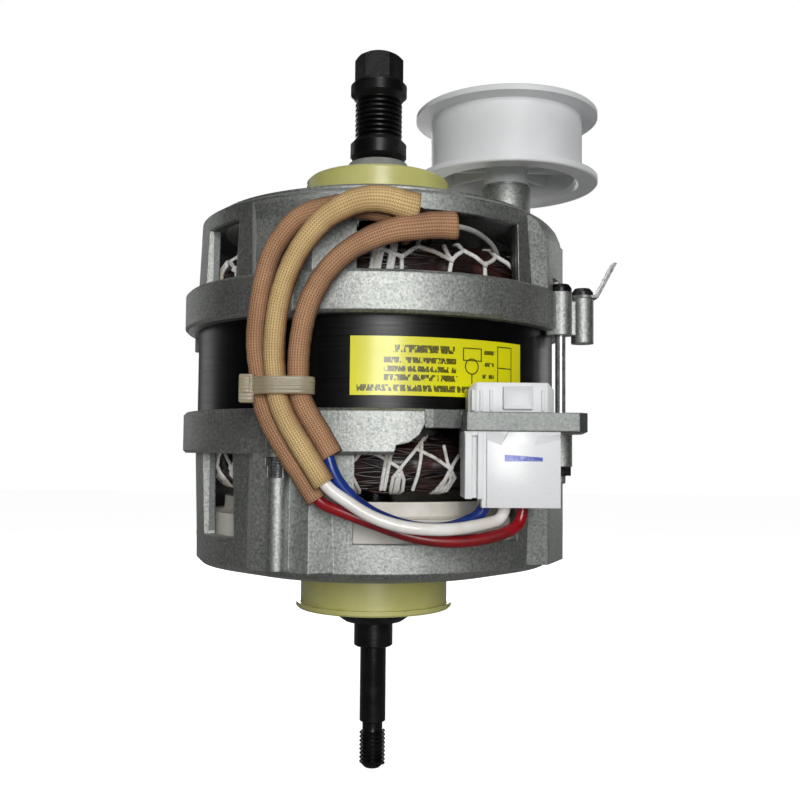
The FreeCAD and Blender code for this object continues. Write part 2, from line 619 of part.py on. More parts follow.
def bearing(side, bottom):
    """Ball bearing: outer race, inner race and a ring of balls, the races with round tracks."""
    mid = f"{bottom} + bearing_width / 2"
    top = f"{bottom} + bearing_width"
    land = {"outer": "(bearing_radius - race_thickness)", "inner": "(journal_radius + race_thickness)"}
    track = {"outer": f"({land['outer']} + track_depth)", "inner": f"({land['inner']} - track_depth)"}
    back = {"outer": "bearing_radius - core_fit", "inner": "journal_radius"}
    for race, sign in (("outer", "+"), ("inner", "-")):
        flank = f"{land[race]} {sign} track_depth * 0.6"
        keep(turned(f"{side}_bearing_{race}_race", [
            (back[race], bottom), (back[race], top), (land[race], top),
            (land[race], f"{mid} + 2.7"), (flank, f"{mid} + 1.9"), (track[race], f"{mid} + 0.9"),
            (track[race], f"{mid} - 0.9"), (flank, f"{mid} - 1.9"), (land[race], f"{mid} - 2.7"),
            (land[race], bottom)]), f"{side}_bearing_{race}_race")
    # each ball fits between the two tracks with a little play
    ball_text = f"({track['outer']} - {track['inner']}) / 2 - ball_play"
    pitch_text = f"({track['outer']} + {track['inner']}) / 2"
    balls = []
    for i in range(int(size.ball_count)):
        ball = doc.addObject("Part::Sphere", f"{side}_ball_{i}")
        ball.setExpression("Radius", linked(ball_text))
        ball.setExpression("Placement.Base.x", linked(f"({pitch_text}) * cos({i} * 360 / ball_count)"))
        ball.setExpression("Placement.Base.y", linked(f"({pitch_text}) * sin({i} * 360 / ball_count)"))
        ball.setExpression("Placement.Base.z", linked(mid))
        balls.append(ball)
    ring = doc.addObject("Part::Compound", side + "_bearing_balls")
    ring.Links = balls
    keep(ring, side + "_bearing_balls")


def mount_rings():
    """Moulded cream rings on the two hubs, which the machine's cradle clamps."""
    inner = "hub_radius + ring_fit"
    keep(turned("lower_mount_ring", [
        (inner, "lower_hub_top - 0.1"), ("ring_radius - 0.3", "lower_hub_top - 0.1"),
        ("ring_radius", "lower_hub_top - 0.4"), ("ring_radius", "0"), ("ring_radius + ring_lip", "0"),
        ("ring_radius + ring_lip", RING_BOTTOM + " + 0.5"),
        ("ring_radius + ring_lip - 0.5", RING_BOTTOM), (inner, RING_BOTTOM)]), "lower_mount_ring")
    keep(turned("upper_mount_ring", [
        (inner, "upper_hub_bottom + 0.1"), ("ring_radius - 0.3", "upper_hub_bottom + 0.1"),
        ("ring_radius", "upper_hub_bottom + 0.4"), ("ring_radius", "upper_ring_top - 0.8"),
        ("ring_radius - 0.8", "upper_ring_top"), (inner, "upper_ring_top")]), "upper_mount_ring")


def seals():
    """Grey cup over the upper bearing and black dust disc under the lower one."""
    keep(turned("upper_seal_cup", [
        ("journal_radius + seal_play", "upper_ring_top - 0.1"), ("seal_radius", "upper_ring_top - 0.1"),
        ("seal_radius", "upper_ring_top + 3.1"),
        ("seal_radius - 2", "upper_ring_top + seal_height"),
        ("journal_radius + seal_play", "upper_ring_top + seal_height")]), "upper_seal_cup")
    disc_bottom = f"({RING_BOTTOM} - disc_height)"
    keep(turned("lower_dust_disc", [
        ("journal_radius + seal_play", disc_bottom), ("journal_radius + 3", disc_bottom),
        ("disc_radius - 1.4", disc_bottom + " + 1.8"), ("disc_radius", RING_BOTTOM + " - 0.6"),
        ("disc_radius", RING_BOTTOM + " + 0.3"), ("journal_radius + seal_play", RING_BOTTOM + " + 0.3")]),
        "lower_dust_disc")
    keep(turned("preload_washer", [
        ("bearing_radius - 4", UPPER_RACE_BOTTOM + " + bearing_width + 0.1"),
        ("bearing_radius - 0.5", UPPER_RACE_BOTTOM + " + bearing_width + 0.1"),
        ("bearing_radius - 0.5", UPPER_RACE_BOTTOM + " + bearing_width + 0.7"),
        ("bearing_radius - 4", UPPER_RACE_BOTTOM + " + bearing_width + 0.7")]), "preload_washer")


def idler():
    """Flanged white idler: tread, two flanges, web, ribs between hub and rim, open underneath."""
    web = f"({IDLER_BOTTOM} + idler_height / 2)"
    top = f"({IDLER_BOTTOM} + idler_height)"
    rim_inner = "(idler_tread_radius - idler_wall)"
    hub_bottom = f"({IDLER_BOTTOM} + 0.1)"
    body = turned("idler_pulley", [
        ("idler_pin_radius + idler_play", hub_bottom), ("idler_hub_radius", hub_bottom),
        ("idler_hub_radius", web), (rim_inner, web), (rim_inner, IDLER_BOTTOM + " + 2"),
        (rim_inner + " + 1.4", IDLER_BOTTOM),
        ("idler_radius - 0.4", IDLER_BOTTOM), ("idler_radius", IDLER_BOTTOM + " + 0.4"),
        ("idler_radius", IDLER_BOTTOM + " + idler_flange_height"),
        ("idler_tread_radius", IDLER_BOTTOM + " + idler_flange_height + 0.4"),
        ("idler_tread_radius", top + " - idler_flange_height - 0.4"),
        ("idler_radius", top + " - idler_flange_height"),
        ("idler_radius", top + " - 0.4"), ("idler_radius - 0.4", top),
        (rim_inner, top), (rim_inner, web + " + idler_web_height"),
        ("idler_hub_radius", web + " + idler_web_height"), ("idler_hub_radius", top + " - 1"),
        ("idler_pin_radius + idler_play", top + " - 1")])
    for name, low, height in (("lower_rib", IDLER_BOTTOM + " + 5", web + f" - {IDLER_BOTTOM} - 4.5"),
                              ("upper_rib", web + " + idler_web_height - 0.5",
                               f"{top} - {web} - idler_web_height - 4.5")):
        sketch = new_sketch(body, name + "_outline", "XY_Plane", low)
        add_outline(sketch, box_corners("idler_hub_radius - 0.5", rim_inner + " + 0.5", "-0.8", "0.8"))
        rib = extrude(body, name, sketch, height)
        spread(body, name + "_set", [rib], "idler_rib_count")
    body.setExpression("Placement.Base.x", linked("idler_x"))
    body.setExpression("Placement.Base.y", linked("idler_y"))
    keep(body, "idler_pulley")
    pin = turned("idler_pin", [
        ("0", "upper_rim_top + 2.2"), ("idler_pin_radius - 0.05", "upper_rim_top + 2.2"),
        ("idler_pin_radius - 0.05", f"{POST_TOP} + 0.1"), ("idler_pin_radius", f"{POST_TOP} + 0.2"),
        ("idler_pin_radius", top + " + 0.6"), ("idler_pin_radius - 0.8", top + " + 0.6"),
        ("idler_pin_radius - 0.8", top + " + 1.7"), ("idler_pin_radius", top + " + 1.7"),
        ("idler_pin_radius", top + " + 2.4"), ("idler_pin_radius - 0.5", top + " + 2.9"),
        ("0", top + " + 2.9")])
    washer = turned("idler_washer", [
        ("idler_pin_radius + 0.1", POST_TOP), ("idler_hub_radius + 0.4", POST_TOP),
        ("idler_hub_radius + 0.4", f"{POST_TOP} + idler_washer_height"),
        ("idler_pin_radius + 0.1", f"{POST_TOP} + idler_washer_height")])
    clip = turned("idler_clip", [
        ("idler_pin_radius - 0.7", top + " + 0.65"), ("idler_pin_radius + 2.6", top + " + 0.65"),
        ("idler_pin_radius + 2.6", top + " + 1.65"), ("idler_pin_radius - 0.7", top + " + 1.65")])
    sketch = new_sketch(clip, "clip_gap_outline", "XY_Plane", top)
    add_outline(sketch, box_corners("0", "idler_pin_radius + 4", "-1.6", "1.6"))
    extrude(clip, "clip_gap", sketch, "3", cut=True)
    for piece, label in ((pin, "idler_pin"), (washer, "idler_washer"), (clip, "idler_clip")):
        piece.setExpression("Placement.Base.x", linked("idler_x"))
        piece.setExpression("Placement.Base.y", linked("idler_y"))
        keep(piece, label)


def round_the_bolts(name, maker, turns):
    """Copy one piece, modelled on the +X side, to the bolt positions given in degrees."""
    copies = []
    for i, turn in enumerate(turns):
        piece = maker(f"{name}_{i}")
        place = "Placement.Rotation.Angle"
        piece.Placement = Placement(Vector(0, 0, 0), Rotation(Vector(0, 0, 1), 1))
        piece.setExpression(place, linked(turn))
        piece.setExpression("Placement.Base.x", linked(f"bolt_circle_radius * cos({turn})"))
        piece.setExpression("Placement.Base.y", linked(f"bolt_circle_radius * sin({turn})"))
        copies.append(piece)
    group = doc.addObject("Part::Compound", name)
    group.Links = copies
    return keep(group, name)


def one_bolt(name):
    """Through bolt with a low domed head that sits on the upper boss."""
    seat = "(lower_band_bottom + lower_band_height + band_spacing + upper_band_height + 0.02)"
    return turned(name, [
        ("0", "lower_band_bottom - 8"), ("bolt_radius - 0.4", "lower_band_bottom - 8"),
        ("bolt_radius", "lower_band_bottom - 7.6"), ("bolt_radius", seat), ("bolt_head_radius", seat),
        ("bolt_head_radius", seat + " + bolt_head_height * 0.45"),
        ("bolt_head_radius * 0.75", seat + " + bolt_head_height * 0.88"),
        ("bolt_head_radius * 0.3", seat + " + bolt_head_height"), ("0", seat + " + bolt_head_height")])


def one_nut(name):
    """Hexagon nut under the lower boss."""
    body = doc.addObject("PartDesign::Body", name)
    sketch = new_sketch(body, name + "_outline", "XY_Plane", "lower_band_bottom - 3.02 - nut_height")
    add_outline(sketch, [(f"nut_radius * cos({60 * i})", f"nut_radius * sin({60 * i})") for i in range(6)])
    add_circle(sketch, "0", "0", "bolt_radius + 0.02")
    extrude(body, name + "_body", sketch, "nut_height")
    return body


def fasteners():
    """Four through bolts, two nuts, and the earth screw with its tab."""
    round_the_bolts("through_bolts", one_bolt, [f"window_turn + {45 + 90 * i}" for i in range(4)])
    round_the_bolts("bolt_nuts", one_nut, [f"window_turn + {45 + 90 * i}" for i in (1, 3)])
    seat = "(lower_band_bottom + lower_band_height + band_spacing + upper_band_height)"
    screw = turned("earth_screw", [
        ("0", seat + " - 7"), ("bolt_radius - 0.06", seat + " - 7"), ("bolt_radius - 0.06", seat + " + 0.9"),
        ("bolt_head_radius", seat + " + 0.9"), ("bolt_head_radius", seat + " + 1.9"),
        ("bolt_head_radius * 0.7", seat + " + 3.1"), ("0", seat + " + 3.4")])
    screw.setExpression("Placement.Base.x", linked("earth_x"))
    screw.setExpression("Placement.Base.y", linked("-earth_y"))
    keep(screw, "earth_screw")
    # flat washer of the tab, with a blade that leans out and up
    tab = doc.addObject("PartDesign::Body", "earth_tab")
    sketch = new_sketch(tab, "tab_washer_outline", "XY_Plane", seat + " + 0.05")
    add_circle(sketch, "0", "0", "bolt_head_radius + 0.2")
    add_circle(sketch, "0", "0", "bolt_radius + 0.15")
    extrude(tab, "tab_washer", sketch, "0.8")
    sketch = new_sketch(tab, "tab_blade_outline", "XZ_Plane", "-3.15")
    add_outline(sketch, [("bolt_radius + 0.6", seat + " + 0.05"), ("bolt_head_radius + 1.0", seat + " + 0.05"),
                         ("bolt_head_radius + 6.6", seat + " + 10.6"),
                         ("bolt_head_radius + 5.9", seat + " + 11"),
                         ("bolt_head_radius + 0.5", seat + " + 0.85"), ("bolt_radius + 0.6", seat + " + 0.85")])
    blade = extrude(tab, "tab_blade", sketch, "6.3")
    tab.setExpression("Placement.Base.x", linked("earth_x"))
    tab.setExpression("Placement.Base.y", linked("-earth_y"))
    keep(tab, "earth_tab")


# Places of the three wires across the connector, as parts of its width
WIRE_PLACES = (0.26, 0.468, 0.664)


def connector():
    """White panel connector: stepped body under the plate, latching collar above, open mouth."""
    body = doc.addObject("PartDesign::Body", "connector_housing")
    left = "connector_left"
    right = "(connector_left + connector_width)"
    front = "(-connector_front)"
    back = "(-connector_front + connector_depth)"
    bottom = f"({PLATE_BOTTOM} - connector_drop)"
    sketch = new_sketch(body, "lower_outline", "XY_Plane", bottom)
    add_outline(sketch, box_corners(left + " - 1.2", right + " + 1.2", front, back))
    extrude(body, "lower_body", sketch, "connector_drop - 0.05")
    sketch = new_sketch(body, "neck_outline", "XY_Plane", PLATE_BOTTOM + " - 0.1")
    add_outline(sketch, box_corners(left + " + connector_shoulder", right + " - connector_shoulder",
                                    front + " + 2", back + " - 1"))
    extrude(body, "neck", sketch, "plate_height + 0.15")
    sketch = new_sketch(body, "collar_outline", "XY_Plane", PLATE_TOP + " + 0.05")
    add_outline(sketch, [(left, front + " + 3"), (left + " + 2", front + " + 1"), (right + " - 2", front + " + 1"),
                         (right, front + " + 3"), (right, back), (left, back)])
    extrude(body, "collar", sketch, "connector_rise")
    # the mouth opens upwards and the wire cavities open downwards
    sketch = new_sketch(body, "mouth_outline", "XY_Plane", PLATE_BOTTOM + " - 6")
    add_outline(sketch, box_corners(left + " + connector_shoulder + connector_wall",
                                    right + " - connector_shoulder - connector_wall",
                                    front + " + 2 + connector_wall", back + " - 1 - connector_wall"))
    extrude(body, "mouth", sketch, "plate_height + plate_drop + connector_rise + 8", cut=True)
    # the front is relieved at the left, at the right edge and in a wedge on each side of the top
    sketch = new_sketch(body, "left_relief_outline", "XY_Plane", bottom)
    add_outline(sketch, box_corners(left + " - 2", left + " + 3.2", front + " - 1", front + " + 1.1"))
    extrude(body, "left_relief", sketch, "connector_drop - 1.2", cut=True)
    sketch = new_sketch(body, "right_relief_outline", "XY_Plane", bottom)
    add_outline(sketch, box_corners(right + " - 0.6", right + " + 2", front + " - 1", front + " + 1.1"))
    extrude(body, "right_relief", sketch, "connector_drop - 1.2", cut=True)
    sketch = new_sketch(body, "foot_relief_outline", "XY_Plane", bottom)
    add_outline(sketch, box_corners(left + " - 2", left + " + 3.2", front + " - 1", back + " + 1"))
    extrude(body, "foot_relief", sketch, "2.4", cut=True)
    sketch = new_sketch(body, "wire_cavity_outline", "XY_Plane", bottom)
    for place in WIRE_PLACES:
        add_circle(sketch, f"{left} + connector_width * {place}",
                   "-connector_front + connector_depth / 2", "wire_radius + 0.3")
    extrude(body, "wire_cavities", sketch, "6", cut=True)
    keep(body, "connector_housing")
    pins = doc.addObject("PartDesign::Body", "connector_pins")
    sketch = new_sketch(pins, "pin_outline", "XY_Plane", PLATE_BOTTOM + " - 5.95")
    for place in WIRE_PLACES:
        middle = f"{left} + connector_width * {place}"
        add_outline(sketch, box_corners(middle + " - 1.5", middle + " + 1.5",
                                        "-connector_front + connector_depth / 2 - 0.4",
                                        "-connector_front + connector_depth / 2 + 0.4"))
    extrude(pins, "pins", sketch, "plate_height + 8")
    keep(pins, "connector_pins")


def label():
    """Thin yellow rating plate that follows the stator core."""
    inner = size.core_radius + size.core_fit
    low = size.lower_band_bottom + size.lower_band_height + 3.4
    plate = doc.addObject("Part::Feature", "rating_label")
    sector = Part.makeCylinder(inner + size.label_thickness, size.label_height, Vector(0, 0, low),
                               Vector(0, 0, 1), size.label_right_turn - size.label_left_turn)
    hollow = Part.makeCylinder(inner, size.label_height + 2, Vector(0, 0, low - 1))
    shape = sector.cut(hollow)
    shape.rotate(Vector(0, 0, 0), Vector(0, 0, 1), size.label_left_turn - 90)
    plate.Shape = shape
    return keep(plate, "rating_label")


def fan_guide():
    """White moulded ring on the lower floor that steers cooling air, with a raised inner step."""
    foot = f"({LOWER_SILL} - 0.3)"
    return keep(turned("fan_guide", [
        ("guide_radius - 3.4", foot), ("guide_radius", foot), ("guide_radius", foot + " + guide_height"),
        ("guide_radius - 3", foot + " + guide_height"),
        ("guide_radius - 4.2", foot + " + guide_height + 0.6"),
        ("guide_radius - 4.4", foot + " + guide_height + guide_step"),
        ("guide_radius - 6.4", foot + " + guide_height + guide_step"),
        ("guide_radius - 6.4", foot + " + guide_height - 2")]), "fan_guide")


def arc_between(start, direction, end):
    """Arc from start, leaving along direction, to end."""
    chord = end - start
    along = Vector(chord).normalize()
    lean = direction - along * direction.dot(along)
    if lean.Length < 1e-6:
        return Part.LineSegment(start, end)
    half_turn = math.acos(max(-1.0, min(1.0, direction.dot(along))))
    middle = start + chord * 0.5 + Vector(lean).normalize() * (chord.Length / 2 * math.tan(half_turn / 2))
    return Part.Arc(start, middle, end)


def biarc(start, leaving, end, arriving):
    """Two arcs that join smoothly between two points with given directions."""
    span = end - start
    both = leaving + arriving
    bend = 2 * (1 - leaving.dot(arriving))
    reach = (-span.dot(both) + math.sqrt(span.dot(both) ** 2 + bend * span.dot(span))) / bend
    joint = (start + leaving * reach + end - arriving * reach) * 0.5
    first = arc_between(start, leaving, joint)
    second = arc_between(end, arriving * -1, joint)
    return first, second


def lacing(name, level, sign):
    """One cord wound round a winding head, one turn to a slot, its path from a formula."""
    slots = int(size.slot_count)
    half_width = size.head_width / 2 + size.lacing_radius + size.lacing_gap
    half_height = size.head_height / 2 + size.lacing_radius + size.lacing_gap
    middle_height = level + sign * (size.head_rise + size.head_height / 2)

    def point(step):
        """Place on the wound path after a number of quarter turns from the outer side."""
        section = math.tau * step / 4
        round_angle = math.tau * (step - 1) / 4 / slots
        radius = size.head_radius + half_width * math.cos(section)
        height = middle_height + sign * half_height * math.sin(section)
        return Vector(radius * math.cos(round_angle), radius * math.sin(round_angle), height)

    def direction(step):
        small = 0.01
        return (point(step + small) - point(step - small)).normalize()

    # the cord passes between the coil sides, half a slot from each, three quarters through a turn
    steps = 4 * slots - 3
    edges = []
    samples = []
    for quarter in range(steps):
        pair = biarc(point(quarter), direction(quarter), point(quarter + 1), direction(quarter + 1))
        edges += [curve.toShape() for curve in pair]
        samples += [point(quarter + part / 6) for part in range(6)]
    # the least gap between one turn and the others, measured on points
    per_turn = 24
    least = min((samples[i] - samples[j]).Length for i in range(len(samples))
                for j in range(i + per_turn // 2, len(samples), 2))
    print(f"{name}: least gap between turns {least - 2 * size.lacing_radius:.2f} mm")
    section = Part.makePolygon([ring_corner(point(0), direction(0), size.lacing_radius, i, 6)
                                for i in range(7)])
    tube = Part.Wire(edges).makePipeShell([section], True, False)
    cord = doc.addObject("Part::Feature", name)
    cord.Shape = tube
    return keep(cord, name)


def ring_corner(centre, normal, radius, index, sides):
    """One corner of a regular outline square to a direction."""
    side = normal.cross(Vector(0, 0, 1))
    if side.Length < 0.2:
        side = normal.cross(Vector(1, 0, 0))
    side.normalize()
    other = normal.cross(side).normalize()
    angle = math.tau * (index % sides) / sides
    return centre + side * (radius * math.cos(angle)) + other * (radius * math.sin(angle))


# Routes of the leads, set by hand: the sleeves run from the upper window to their cut ends,
# and each wire starts inside its sleeve's end and stops inside the connector. They are
# set for a plate whose front is this far out, and move out and in with it
ROUTE_PLATE_FRONT = 62.0
SLEEVE_ROUTES = {
    "sleeve_outer": [
        (5.0, -48.6, 103.2), (3.0, -55.0, 105.0), (-3.0, -58.8, 106.3), (-9.7, -59.8, 108.8),
        (-19.4, -59.4, 106.5), (-23.2, -59.6, 102.4), (-26.6, -60.4, 96.7), (-28.3, -60.6, 90.6),
        (-29.4, -60.2, 85.2), (-30.2, -59.2, 79.7), (-30.6, -58.6, 73.9), (-30.1, -58.3, 68.6),
        (-29.3, -58.5, 64.5), (-29.0, -58.8, 59.8), (-27.2, -60.0, 54.2), (-23.0, -60.8, 47.0),
        (-18.7, -61.2, 40.8), (-14.3, -61.8, 33.9)],
    "sleeve_middle": [
        (13.0, -47.8, 104.2), (12.0, -56.0, 106.6), (6.0, -60.8, 108.9), (2.2, -62.6, 110.7),
        (-3.6, -64.2, 109.6), (-9.3, -64.6, 107.1), (-13.9, -64.6, 104.0), (-17.6, -64.4, 99.3),
        (-20.6, -64.2, 94.6), (-22.8, -64.0, 89.1), (-24.3, -63.6, 83.9), (-25.1, -63.0, 79.2),
        (-25.6, -62.4, 74.0), (-25.7, -62.2, 69.4), (-25.2, -62.2, 65.2), (-24.7, -62.6, 59.6),
        (-22.4, -64.0, 53.9), (-17.8, -65.4, 46.5), (-12.4, -65.8, 38.0)],
    "sleeve_inner": [
        (22.0, -46.4, 102.4), (20.5, -54.5, 103.8), (15.5, -59.4, 104.4), (10.3, -61.5, 102.9),
        (4.2, -62.5, 102.3), (-1.6, -63.0, 100.0), (-7.4, -63.4, 96.6), (-12.6, -63.6, 91.4),
        (-16.0, -63.4, 85.8), (-17.8, -63.0, 80.9), (-18.9, -62.4, 75.6), (-19.5, -62.1, 69.8),
        (-19.5, -62.1, 65.0), (-19.1, -62.4, 59.8), (-16.9, -62.7, 55.2), (-13.8, -63.1, 50.6),
        (-10.6, -63.6, 44.9)],
}
WIRE_ROUTES = {
    "wire_red": [
        (-15.7, -61.6, 36.1), (-13.8, -61.9, 33.1), (-9.3, -62.8, 31.5), (-4.3, -63.2, 29.7),
        (0.4, -63.2, 28.0), (9.2, -63.0, 24.9), (18.0, -62.2, 23.6), (27.2, -60.4, 24.1),
        (34.6, -58.4, 26.2), (38.2, -55.9, 28.9), (38.2, -55.9, 37.7)],
    "wire_white": [
        (-13.7, -65.7, 40.1), (-11.8, -65.9, 37.1), (-7.8, -66.4, 34.4), (-1.1, -66.8, 30.1),
        (6.3, -66.8, 27.7), (13.7, -66.2, 27.0), (20.0, -64.6, 27.0), (27.2, -60.8, 28.0),
        (33.9, -55.9, 29.3), (33.9, -55.9, 37.7)],
    "wire_blue": [
        (-12.0, -63.4, 47.4), (-10.0, -63.7, 43.8), (-8.4, -63.4, 39.9), (-5.2, -62.6, 36.2),
        (0.1, -61.6, 32.7), (7.6, -60.6, 30.1), (15.3, -59.2, 28.8), (22.3, -57.4, 28.8),
        (29.3, -55.9, 29.6), (29.3, -55.9, 37.7)],
}
WIRE_ENTRY = 3.5


def tube(name, route, radius, sides=10):
    """Tube along straight runs joined by tangent arcs, each arc as large as its runs allow."""
    outwards = size.plate_front - ROUTE_PLATE_FRONT
    points = [Vector(x, y - outwards, z) for x, y, z in route]
    edges = []
    radii = []
    here = points[0]
    for before, corner, after in zip(points, points[1:], points[2:]):
        into = (corner - before).normalize()
        out = (after - corner).normalize()
        half_turn = into.getAngle(out) / 2
        setback = 0.45 * min((corner - before).Length, (after - corner).Length)
        radii.append(setback / math.tan(half_turn))
        enter = corner - into * setback
        leave = corner + out * setback
        edges.append(Part.LineSegment(here, enter).toShape())
        edges.append(arc_between(enter, into, leave).toShape())
        here = leave
    edges.append(Part.LineSegment(here, points[-1]).toShape())
    print(f"{name}: radii " + " ".join(f"{value:.1f}" for value in radii))
    into = (points[1] - points[0]).normalize()
    section = Part.makePolygon([ring_corner(points[0], into, radius, i, sides)
                                for i in range(sides + 1)])
    path = Part.Wire(edges)
    solid = path.makePipeShell([section], True, False)
    expected = 0.5 * sides * radius ** 2 * math.sin(math.tau / sides) * path.Length
    print(f"{name}: length {path.Length:.1f}, volume {solid.Volume:.1f}, expected {expected:.1f}")
    if name.startswith("sleeve"):
        # the cut end is hollow so that the wire starts inside it
        last = (points[-1] - points[-2]).normalize()
        hollow = size.wire_radius + size.sleeve_play
        solid = solid.cut(Part.makeCylinder(hollow, WIRE_ENTRY + 1, points[-1] - last * WIRE_ENTRY, last))
    lead = doc.addObject("Part::Feature", name)
    lead.Shape = solid
    return keep(lead, name)


# Where the tie wraps the sleeves: sleeve centres at its height, and the corners round them
TIE_CENTRES = ((-29.1, -58.6), (-25.0, -62.35), (-19.3, -62.25))
TIE_CORNERS = ((0, 90), (0, 132), (0, 170), (0, 205), (1, 247), (2, 290), (2, 335), (2, 10), (2, 46))


def cable_tie():
    """Nylon strap round the three sleeves with its square head at the left."""
    body = doc.addObject("PartDesign::Body", "cable_tie")
    middle = "(lower_band_bottom + lower_band_height + tie_rise)"
    for name, reach, cut in (("strap", "sleeve_radius + tie_gap + tie_thickness", False),
                             ("strap_hole", "sleeve_radius + tie_gap", True)):
        sketch = new_sketch(body, name + "_outline", "XY_Plane", middle + " - tie_width / 2")
        add_outline(sketch, [
            (f"{TIE_CENTRES[which][0]} + ({reach}) * 1.085 * cos({angle})",
             f"{TIE_CENTRES[which][1]} - (plate_front - {ROUTE_PLATE_FRONT})"
             f" + ({reach}) * 1.085 * sin({angle})")
            for which, angle in TIE_CORNERS])
        extrude(body, name, sketch, "tie_width", cut=cut)
    # the head sits on the strap in front of the outer sleeve
    side = f"({TIE_CENTRES[0][0]} - tie_gap - 0.8)"
    sketch = new_sketch(body, "head_outline", "XY_Plane", middle + " - tie_width / 2 - 2.0")
    level = f"({TIE_CENTRES[0][1]} - sleeve_radius - (plate_front - {ROUTE_PLATE_FRONT}))"
    add_outline(sketch, box_corners(side + " - 3.8", side, level + " - 3.4", level))
    extrude(body, "head", sketch, "tie_width + 2.8")
    return keep(body, "cable_tie")


def leads():
    """Three woven sleeves, three wires and the tie that holds the sleeves together."""
    for name, route in SLEEVE_ROUTES.items():
        tube(name, route, size.sleeve_radius)
    for name, route in WIRE_ROUTES.items():
        tube(name, route, size.wire_radius, sides=8)


MAKERS = [lower_end_shield, upper_end_shield, stator_core, winding, rotor_core, rotor_cage, shaft,
          drive_pulley, mount_rings, seals, idler, fasteners, connector, label, fan_guide, cable_tie]
for maker in MAKERS:
    maker()
bearing("lower", LOWER_RACE_BOTTOM)
bearing("upper", UPPER_RACE_BOTTOM)
doc.recompute()
lacing("upper_lacing", size.lower_band_bottom + size.lower_band_height + size.band_spacing
       + size.seat_depth, 1)
lacing("lower_lacing", size.lower_band_bottom + size.lower_band_height - size.seat_depth, -1)
leads()
doc.recompute()

for item in doc.Objects:
    if "Invalid" in item.State or "Error" in item.State:
        raise RuntimeError(f"{item.Name} failed: {item.State}")
os.makedirs("parts", exist_ok=True)
for piece in kept:
    shape = piece.Shape
    if shape.isNull() or not shape.isValid() or not shape.Solids:
        raise RuntimeError(f"{piece.Label} has no valid solid")
    shape.exportStep(f"parts/{piece.Label}.step")
print(len(kept), "pieces written")
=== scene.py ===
import math

import bpy
from mathutils import Matrix, Vector


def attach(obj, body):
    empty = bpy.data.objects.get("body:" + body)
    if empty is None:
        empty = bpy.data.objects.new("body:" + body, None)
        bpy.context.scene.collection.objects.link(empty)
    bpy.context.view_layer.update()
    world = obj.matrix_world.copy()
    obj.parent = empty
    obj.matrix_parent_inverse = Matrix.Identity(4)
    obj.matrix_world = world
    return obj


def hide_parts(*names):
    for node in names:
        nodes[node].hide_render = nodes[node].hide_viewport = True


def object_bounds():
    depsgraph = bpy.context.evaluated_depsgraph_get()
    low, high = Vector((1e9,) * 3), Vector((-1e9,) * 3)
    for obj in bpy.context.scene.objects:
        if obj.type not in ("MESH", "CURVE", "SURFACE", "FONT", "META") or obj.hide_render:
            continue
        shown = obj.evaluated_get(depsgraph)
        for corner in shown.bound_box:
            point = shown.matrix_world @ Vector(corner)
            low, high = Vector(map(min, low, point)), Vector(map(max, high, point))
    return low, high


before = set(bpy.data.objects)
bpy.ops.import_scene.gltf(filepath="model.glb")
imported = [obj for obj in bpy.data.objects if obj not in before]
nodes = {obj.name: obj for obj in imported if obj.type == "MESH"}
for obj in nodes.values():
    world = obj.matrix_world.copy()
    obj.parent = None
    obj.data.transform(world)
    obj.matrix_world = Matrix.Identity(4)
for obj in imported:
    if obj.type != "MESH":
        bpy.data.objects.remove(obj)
cad_low, cad_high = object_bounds()
MM = 0.001
PER_MM = 1000


# The spindle: one steel bar turned down to a thin tail, blackened all over, with a rolled
# 8 mm thread at its lower end. The rotor is pressed on its middle and both bearings on its
# journals. The thread is a real screw form, because its teeth show against the background.
class Number:
    """A value that varies over a surface, so that a pattern is written as plain sums."""

    def __init__(self, tree, socket):
        self.tree = tree
        self.socket = socket

    def work(self, operation, *values):
        node = self.tree.nodes.new("ShaderNodeMath")
        node.operation = operation
        for place, value in enumerate(values):
            if isinstance(value, Number):
                self.tree.links.new(value.socket, node.inputs[place])
            else:
                node.inputs[place].default_value = value
        return Number(self.tree, node.outputs[0])

    def __add__(self, other):
        return self.work("ADD", self, other)

    def __sub__(self, other):
        return self.work("SUBTRACT", self, other)

    def __rsub__(self, other):
        return self.work("SUBTRACT", other, self)

    def __mul__(self, other):
        return self.work("MULTIPLY", self, other)

    def __pow__(self, other):
        return self.work("POWER", self, other)

    def __abs__(self):
        return self.work("ABSOLUTE", self)

    def sine(self):
        return self.work("SINE", self)

    def over(self, level):
        """1 where this is above the level, else 0."""
        return self.work("GREATER_THAN", self, level)

    def under(self, level):
        """1 where this is below the level, else 0."""
        return self.work("LESS_THAN", self, level)

    def between(self, low, high):
        """1 inside the range, else 0."""
        return self.over(low) * self.under(high)

    def ramp(self, low, high):
        """0 at low, 1 at high, straight between them and flat outside."""
        node = self.tree.nodes.new("ShaderNodeMapRange")
        node.inputs["From Min"].default_value = low
        node.inputs["From Max"].default_value = high
        self.tree.links.new(self.socket, node.inputs["Value"])
        return Number(self.tree, node.outputs["Result"])


def paint(red, green, blue):
    """A colour as seen on a screen, 0 to 255 each, turned into the shader's linear values."""
    levels = [value / 255 for value in (red, green, blue)]
    linear = [v / 12.92 if v <= 0.04045 else ((v + 0.055) / 1.055) ** 2.4 for v in levels]
    return (*linear, 1.0)


